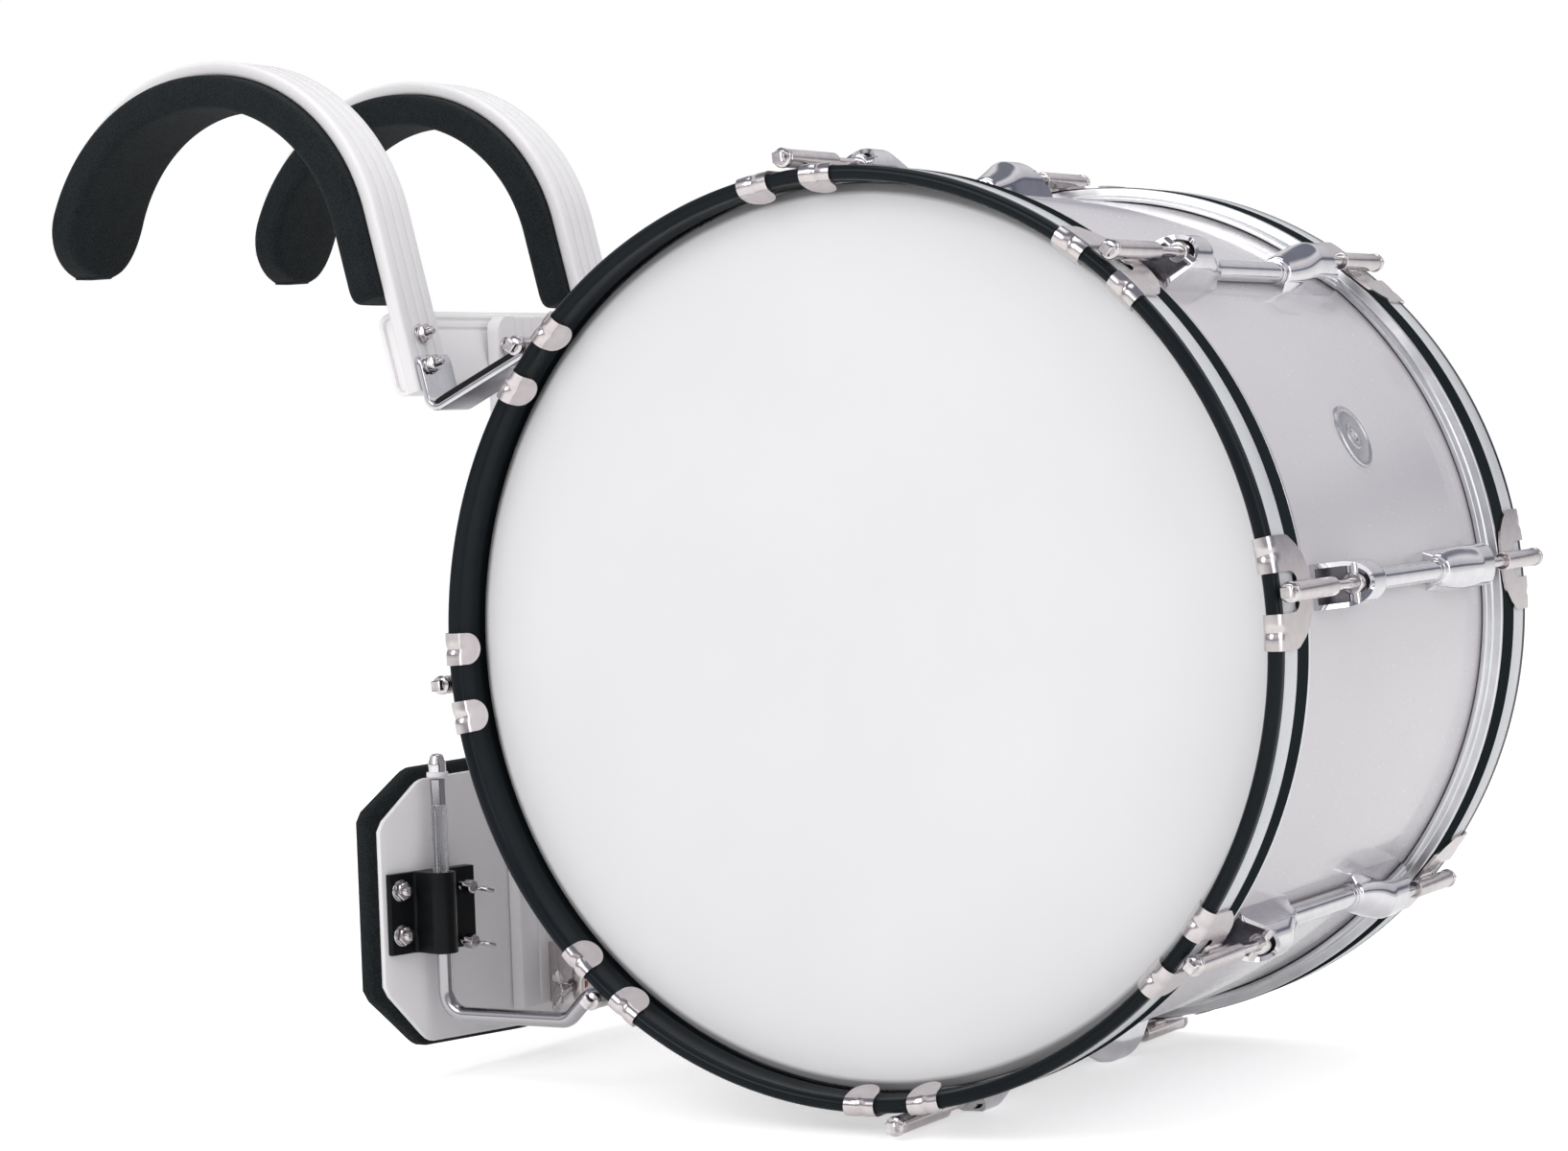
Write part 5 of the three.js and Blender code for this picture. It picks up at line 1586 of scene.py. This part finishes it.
def build_wing_screws():
    mesh = mesh_from("wing_screw", wing_screw_parts(SCREW_REACH), wing_chrome, WING_CREASE)
    for hand, side in SIDES:
        inward, out, axis, depth = clamp_place(side)
        for number, drop in enumerate(SCREW_HEIGHTS, 1):
            node = f"{hand}_wing_screw_{number}"
            spot = axis + inward * SCREW_OFFSET + out * (CLAMP_FLANGE - depth)
            spot.z = -drop
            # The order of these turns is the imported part's own: lean, then swing the wings about Y and Z.
            turn = (
                Matrix.Rotation(side * math.radians(PLATE_SWEEP), 4, "Z")
                @ Matrix.Rotation(-side * math.radians(WING_TURN), 4, "Y")
                @ QUARTER_TURN
            )
            place = Matrix.Translation(spot) @ turn
            placed(f"{node}_whole", mesh, (node,), f"{node}_body", place)
    foot = mesh_from("foot_screw", wing_screw_parts(FOOT_SCREW_REACH), wing_chrome, WING_CREASE)
    spot = (FOOT_SCREW_X, -FOOT_SCREW_Y - SEAT, -FOOT_SCREW_DROP)
    place = Matrix.Translation(spot) @ Matrix.Rotation(-math.pi / 2, 4, "Y")
    cap = rounded(ring_profile(0, RED_CAP_SIZE / 2, -RED_CAP_END, -RED_CAP_START), RED_CAP_EDGES, 4)
    cap_mesh = mesh_from("foot_screw_cap", turned(cap, CAP_SIDES), red_tip)
    node = "foot_wing_screw"
    for name, mesh in (("whole", foot), ("red_cap", cap_mesh)):
        placed(f"{node}_{name}", mesh, (node,), f"{node}_body", place)


def strap_line():
    """The strap's corners in (y, z), and its direction away from the bar."""
    offset = (BAR_THICKNESS + 2 * SEAT + STRAP_THICKNESS / 2) / math.cos(math.radians(LEG_TILT))
    top = Vector((leg_back(-STRAP_TOP) - offset, -STRAP_TOP))
    bottom = Vector((leg_back(-STRAP_BOTTOM) - offset, -STRAP_BOTTOM))
    slope = math.radians(STRAP_SLOPE)
    along = Vector((-math.cos(slope), math.sin(slope)))
    end = bottom + along * ((rod_place(UPPER_ROD) - bottom).dot(along) + STRAP_PAST)
    lip = end + Vector((-along.y, along.x)) * STRAP_LIP
    return top, bottom, end, along, lip


def build_strap(hand, side):
    """A V-shaped strap that narrows to a lip past the drum's rod."""
    top, bottom, end, along, lip = strap_line()
    x = side * BAR_X
    corners = [top, bottom, end - along * STRAP_TAPER, end, lip]
    path = rounded(corners, [0, STRAP_BEND, 0, STRAP_LIP_BEND, 0], 10, closed=False)
    dense = resampled(path, STRAP_POINTS)
    total = (end - bottom).length
    rings = []
    for i, point in enumerate(dense):
        direction = (dense[min(i + 1, STRAP_POINTS - 1)] - dense[max(i - 1, 0)]).normalized()
        out = Vector((direction.y, -direction.x))
        run = (point - bottom).length
        eased = 1.0
        if run > total - STRAP_TAPER and (point - bottom).dot(along) > 0:
            eased = smooth_share((end - point).dot(along), 0, STRAP_TAPER)
        if (point - lip).length < STRAP_LIP - STRAP_LIP_MARGIN and run > total - STRAP_LIP:
            eased = 0
        width = STRAP_LIP_WIDTH + (STRAP_WIDTH - STRAP_LIP_WIDTH) * eased
        for place, cut in zip((top, lip), STRAP_END_CUTS):
            width -= STRAP_END_NARROWING * max(1 - (point - place).length / cut, 0) ** 2
        shift = side * (SUPPORT_X - BAR_X) * (1 - eased)
        section = rounded(rectangle(width, STRAP_THICKNESS), STRAP_EDGE, 3)
        rings.append(ring_at(x + shift, point, out, section))
    mesh = mesh_from(f"{hand}_strap", skin(rings), chrome, STRAP_CREASE)
    # Faces that look down take the dark plating, as painted shade under the strap.
    shade_faces(mesh, strap_shade, lambda face: face.normal.z < STRAP_SHADE_TURN)
    placed(f"{hand}_bent_strap", mesh, (f"{hand}_hook_strap",))
    build_strap_rubber(hand, x, bottom, along)
    tilt = math.radians(LEG_TILT)
    forward = Vector((0, -math.cos(tilt), math.sin(tilt)))
    for number, (drop, across, on_strap) in enumerate(STRAP_BOLTS, 1):
        sheet = STRAP_THICKNESS + SEAT if on_strap else 0
        offset = (BAR_THICKNESS + SEAT + sheet) / math.cos(tilt)
        spot = (x + side * across, leg_back(-drop) - offset, -drop)
        bolt_at(f"{hand}_strap_bolt_{number}", spot, forward, POST_NUT)


def build_strap_rubber(hand, x, bottom, along):
    """The rubber strip on the strap's upper face."""
    start = bottom + along * RUBBER_SETBACK
    up = Vector((along.y, -along.x))
    if up.y < 0:
        up = -up
    rings = []
    for i in range(RUBBER_STEPS + 1):
        share = i / RUBBER_STEPS
        point = start + along * RUBBER_LENGTH * share
        near_end = max(0, 1 - min(share, 1 - share) / RUBBER_END_SHARE)
        taper = 1 - RUBBER_END_THINNING * near_end ** 2
        high = STRAP_THICKNESS / 2 + SEAT + RUBBER_THICKNESS * taper
        width = RUBBER_WIDTH * (1 - RUBBER_END_NARROWING * (1 - taper))
        outline = pad_outline(width, RUBBER_THICKNESS * taper, 0)
        rings.append(ring_at(x, point, up, [(across, high - drop) for across, drop in outline]))
    mesh = mesh_from(f"{hand}_strip", skin(rings), strip_rubber, RUBBER_CREASE)
    placed(f"{hand}_rubber_strip", mesh, (f"{hand}_hook_rubber",))


def build_foot_bracket():
    front = -POST_FRONT - SEAT
    tip = front - FOOT_REACH
    base = front - FOOT_BASE
    outline = [
        (0, front), (0, tip), (FOOT_SHEET, tip), (FOOT_SHEET, base), (FOOT_WIDTH, base), (FOOT_WIDTH, front),
    ]
    bracket = slab(rounded(outline, FOOT_CORNERS, 4), [], FOOT_HEIGHT, FOOT_EDGE)
    place = Matrix.Translation((0, 0, -FOOT_DROP - FOOT_HEIGHT / 2))
    mesh = mesh_from("foot_bracket_body", moved(bracket, place), nickel)
    placed("foot_angle_bracket", mesh, ("foot_bracket",))


def build_post_nuts():
    for number, x in enumerate((-POST_BOLT_X, POST_BOLT_X), 1):
        bolt_at(f"post_bolt_{number}", (x, -POST_FRONT, -POST_BOLT_DROP), (0, -1, 0), POST_NUT)


build_shell()
build_lugs()
build_badge()
for hand, side in SIDES:
    build_head(hand, side)
    build_hoop(hand, side)
build_claws()
build_rods()
for hand, side in SIDES:
    build_bar(hand, side)
    build_pad(hand, side)
    build_strap(hand, side)
    build_support(hand, side)
    build_clamp(hand, side)
build_crossbar()
build_post()
build_plate()
build_wing_screws()
build_foot_bracket()
build_post_nuts()


# Floor, light and camera. Sizes are in metres here.
FLOOR_HALF = 14
FLOOR_LIFT = 0.5
FLOOR_MIRRORED_LIFT = 0.2
SKY_DIFFUSE = 0.72
SKY_BANDS = (
    (0.0, (0.16, 0.16, 0.18)), (0.16, (0.62, 0.61, 0.63)), (0.34, (0.86, 0.84, 0.86)),
    (0.52, (0.74, 0.73, 0.75)), (0.585, (0.14, 0.15, 0.20)), (0.635, (0.60, 0.60, 0.63)),
    (0.78, (0.84, 0.82, 0.84)), (0.86, (0.22, 0.23, 0.28)),
)
LAMP_TARGET = (0, -0.45, -0.33)
LAMPS = (
    ("key", (-2.6, 0.2, 1.3), 1.6, 1.6, 27, (1, 0.985, 0.98)),
    ("side", (-0.6, -3.0, 0.5), 1.4, 2.0, 18, (0.97, 0.98, 1)),
    ("top", (0, -0.4, 2.2), 1.6, 1.6, 12, (1, 1, 1)),
)
CAMERA_PLACE = (-2.046, -1.5138, -0.211)
CAMERA_RIGHT = (0.49706, -0.86698, -0.03581)
CAMERA_UP = (0.05181, -0.01154, 0.99859)
CAMERA_BACK = (-0.86617, -0.49822, 0.03918)
CAMERA_LENS = 87.68
CAMERA_SENSOR = 36
CAMERA_END = 100


def mirrored_rays(nodes, links, path):
    """1 for the rays by which metal and glass see the surroundings."""
    return maths(nodes, links, "MAXIMUM", path.outputs["Is Glossy Ray"], path.outputs["Is Transmission Ray"])


def build_floor():
    """A pale floor that is white to the eye and keeps the object's shadow."""
    half = FLOOR_HALF
    height = -FLOOR_DROP * MM
    mesh = bpy.data.meshes.new("floor")
    corners = [(-half, -half, height), (half, -half, height), (half, half, height), (-half, half, height)]
    mesh.from_pydata(corners, [], [(0, 1, 2, 3)])
    floor = bpy.data.objects.new("floor", mesh)
    bpy.context.scene.collection.objects.link(floor)
    material, nodes, links, shader = new_material("floor_paper")
    shader.inputs["Base Color"].default_value = (0.9, 0.9, 0.9, 1)
    shader.inputs["Roughness"].default_value = 0.95
    shader.inputs["Specular IOR Level"].default_value = 0.0
    shader.inputs["Emission Color"].default_value = (1, 1, 1, 1)
    path = nodes.new("ShaderNodeLightPath")
    lift = maths(nodes, links, "MULTIPLY", path.outputs["Is Camera Ray"], FLOOR_LIFT)
    seen = maths(nodes, links, "MULTIPLY_ADD", mirrored_rays(nodes, links, path), FLOOR_MIRRORED_LIFT, lift)
    links.new(seen, shader.inputs["Emission Strength"])
    mesh.materials.append(material)


def build_world():
    """White for the eye; mirrors see soft grey bands in it, which give chrome its contrast."""
    world = bpy.data.worlds.new("studio")
    bpy.context.scene.world = world
    world.use_nodes = True
    nodes = world.node_tree.nodes
    links = world.node_tree.links
    background = nodes["Background"]
    coordinates = nodes.new("ShaderNodeTexCoord")
    split = nodes.new("ShaderNodeSeparateXYZ")
    links.new(coordinates.outputs["Generated"], split.inputs["Vector"])
    height = maths(nodes, links, "MULTIPLY_ADD", split.outputs["Z"], 0.5, 0.5)
    bands = ramp(nodes, links, height, SKY_BANDS, "EASE")
    path = nodes.new("ShaderNodeLightPath")
    mix = nodes.new("ShaderNodeMix")
    mix.data_type = "RGBA"
    links.new(mirrored_rays(nodes, links, path), mix.inputs["Factor"])
    white, banded = [socket for socket in mix.inputs if socket.type == "RGBA"]
    white.default_value = (1, 1, 1, 1)
    links.new(bands, banded)
    mixed = [socket for socket in mix.outputs if socket.type == "RGBA"][0]
    links.new(mixed, background.inputs["Color"])
    strength = add_node(nodes, "ShaderNodeMapRange", **{"To Min": 1.0, "To Max": SKY_DIFFUSE})
    links.new(path.outputs["Is Diffuse Ray"], strength.inputs["Value"])
    links.new(strength.outputs["Result"], background.inputs["Strength"])


def build_lights():
    for name, place, width, height, power, colour in LAMPS:
        data = bpy.data.lights.new(name, "AREA")
        data.shape = "RECTANGLE"
        data.size = width
        data.size_y = height
        data.energy = power
        data.color = colour
        lamp = bpy.data.objects.new(name, data)
        bpy.context.scene.collection.objects.link(lamp)
        lamp.location = place
        lamp.rotation_euler = (Vector(LAMP_TARGET) - Vector(place)).to_track_quat("-Z", "Y").to_euler()


def build_camera():
    data = bpy.data.cameras.new("view")
    data.lens = CAMERA_LENS
    data.sensor_width = CAMERA_SENSOR
    data.clip_end = CAMERA_END
    camera = bpy.data.objects.new("view", data)
    bpy.context.scene.collection.objects.link(camera)
    camera.matrix_world = basis(CAMERA_RIGHT, CAMERA_UP, CAMERA_BACK, CAMERA_PLACE)
    bpy.context.scene.camera = camera


build_floor()
build_world()
build_lights()
build_camera()
bpy.context.scene.view_settings.view_transform = "Standard"
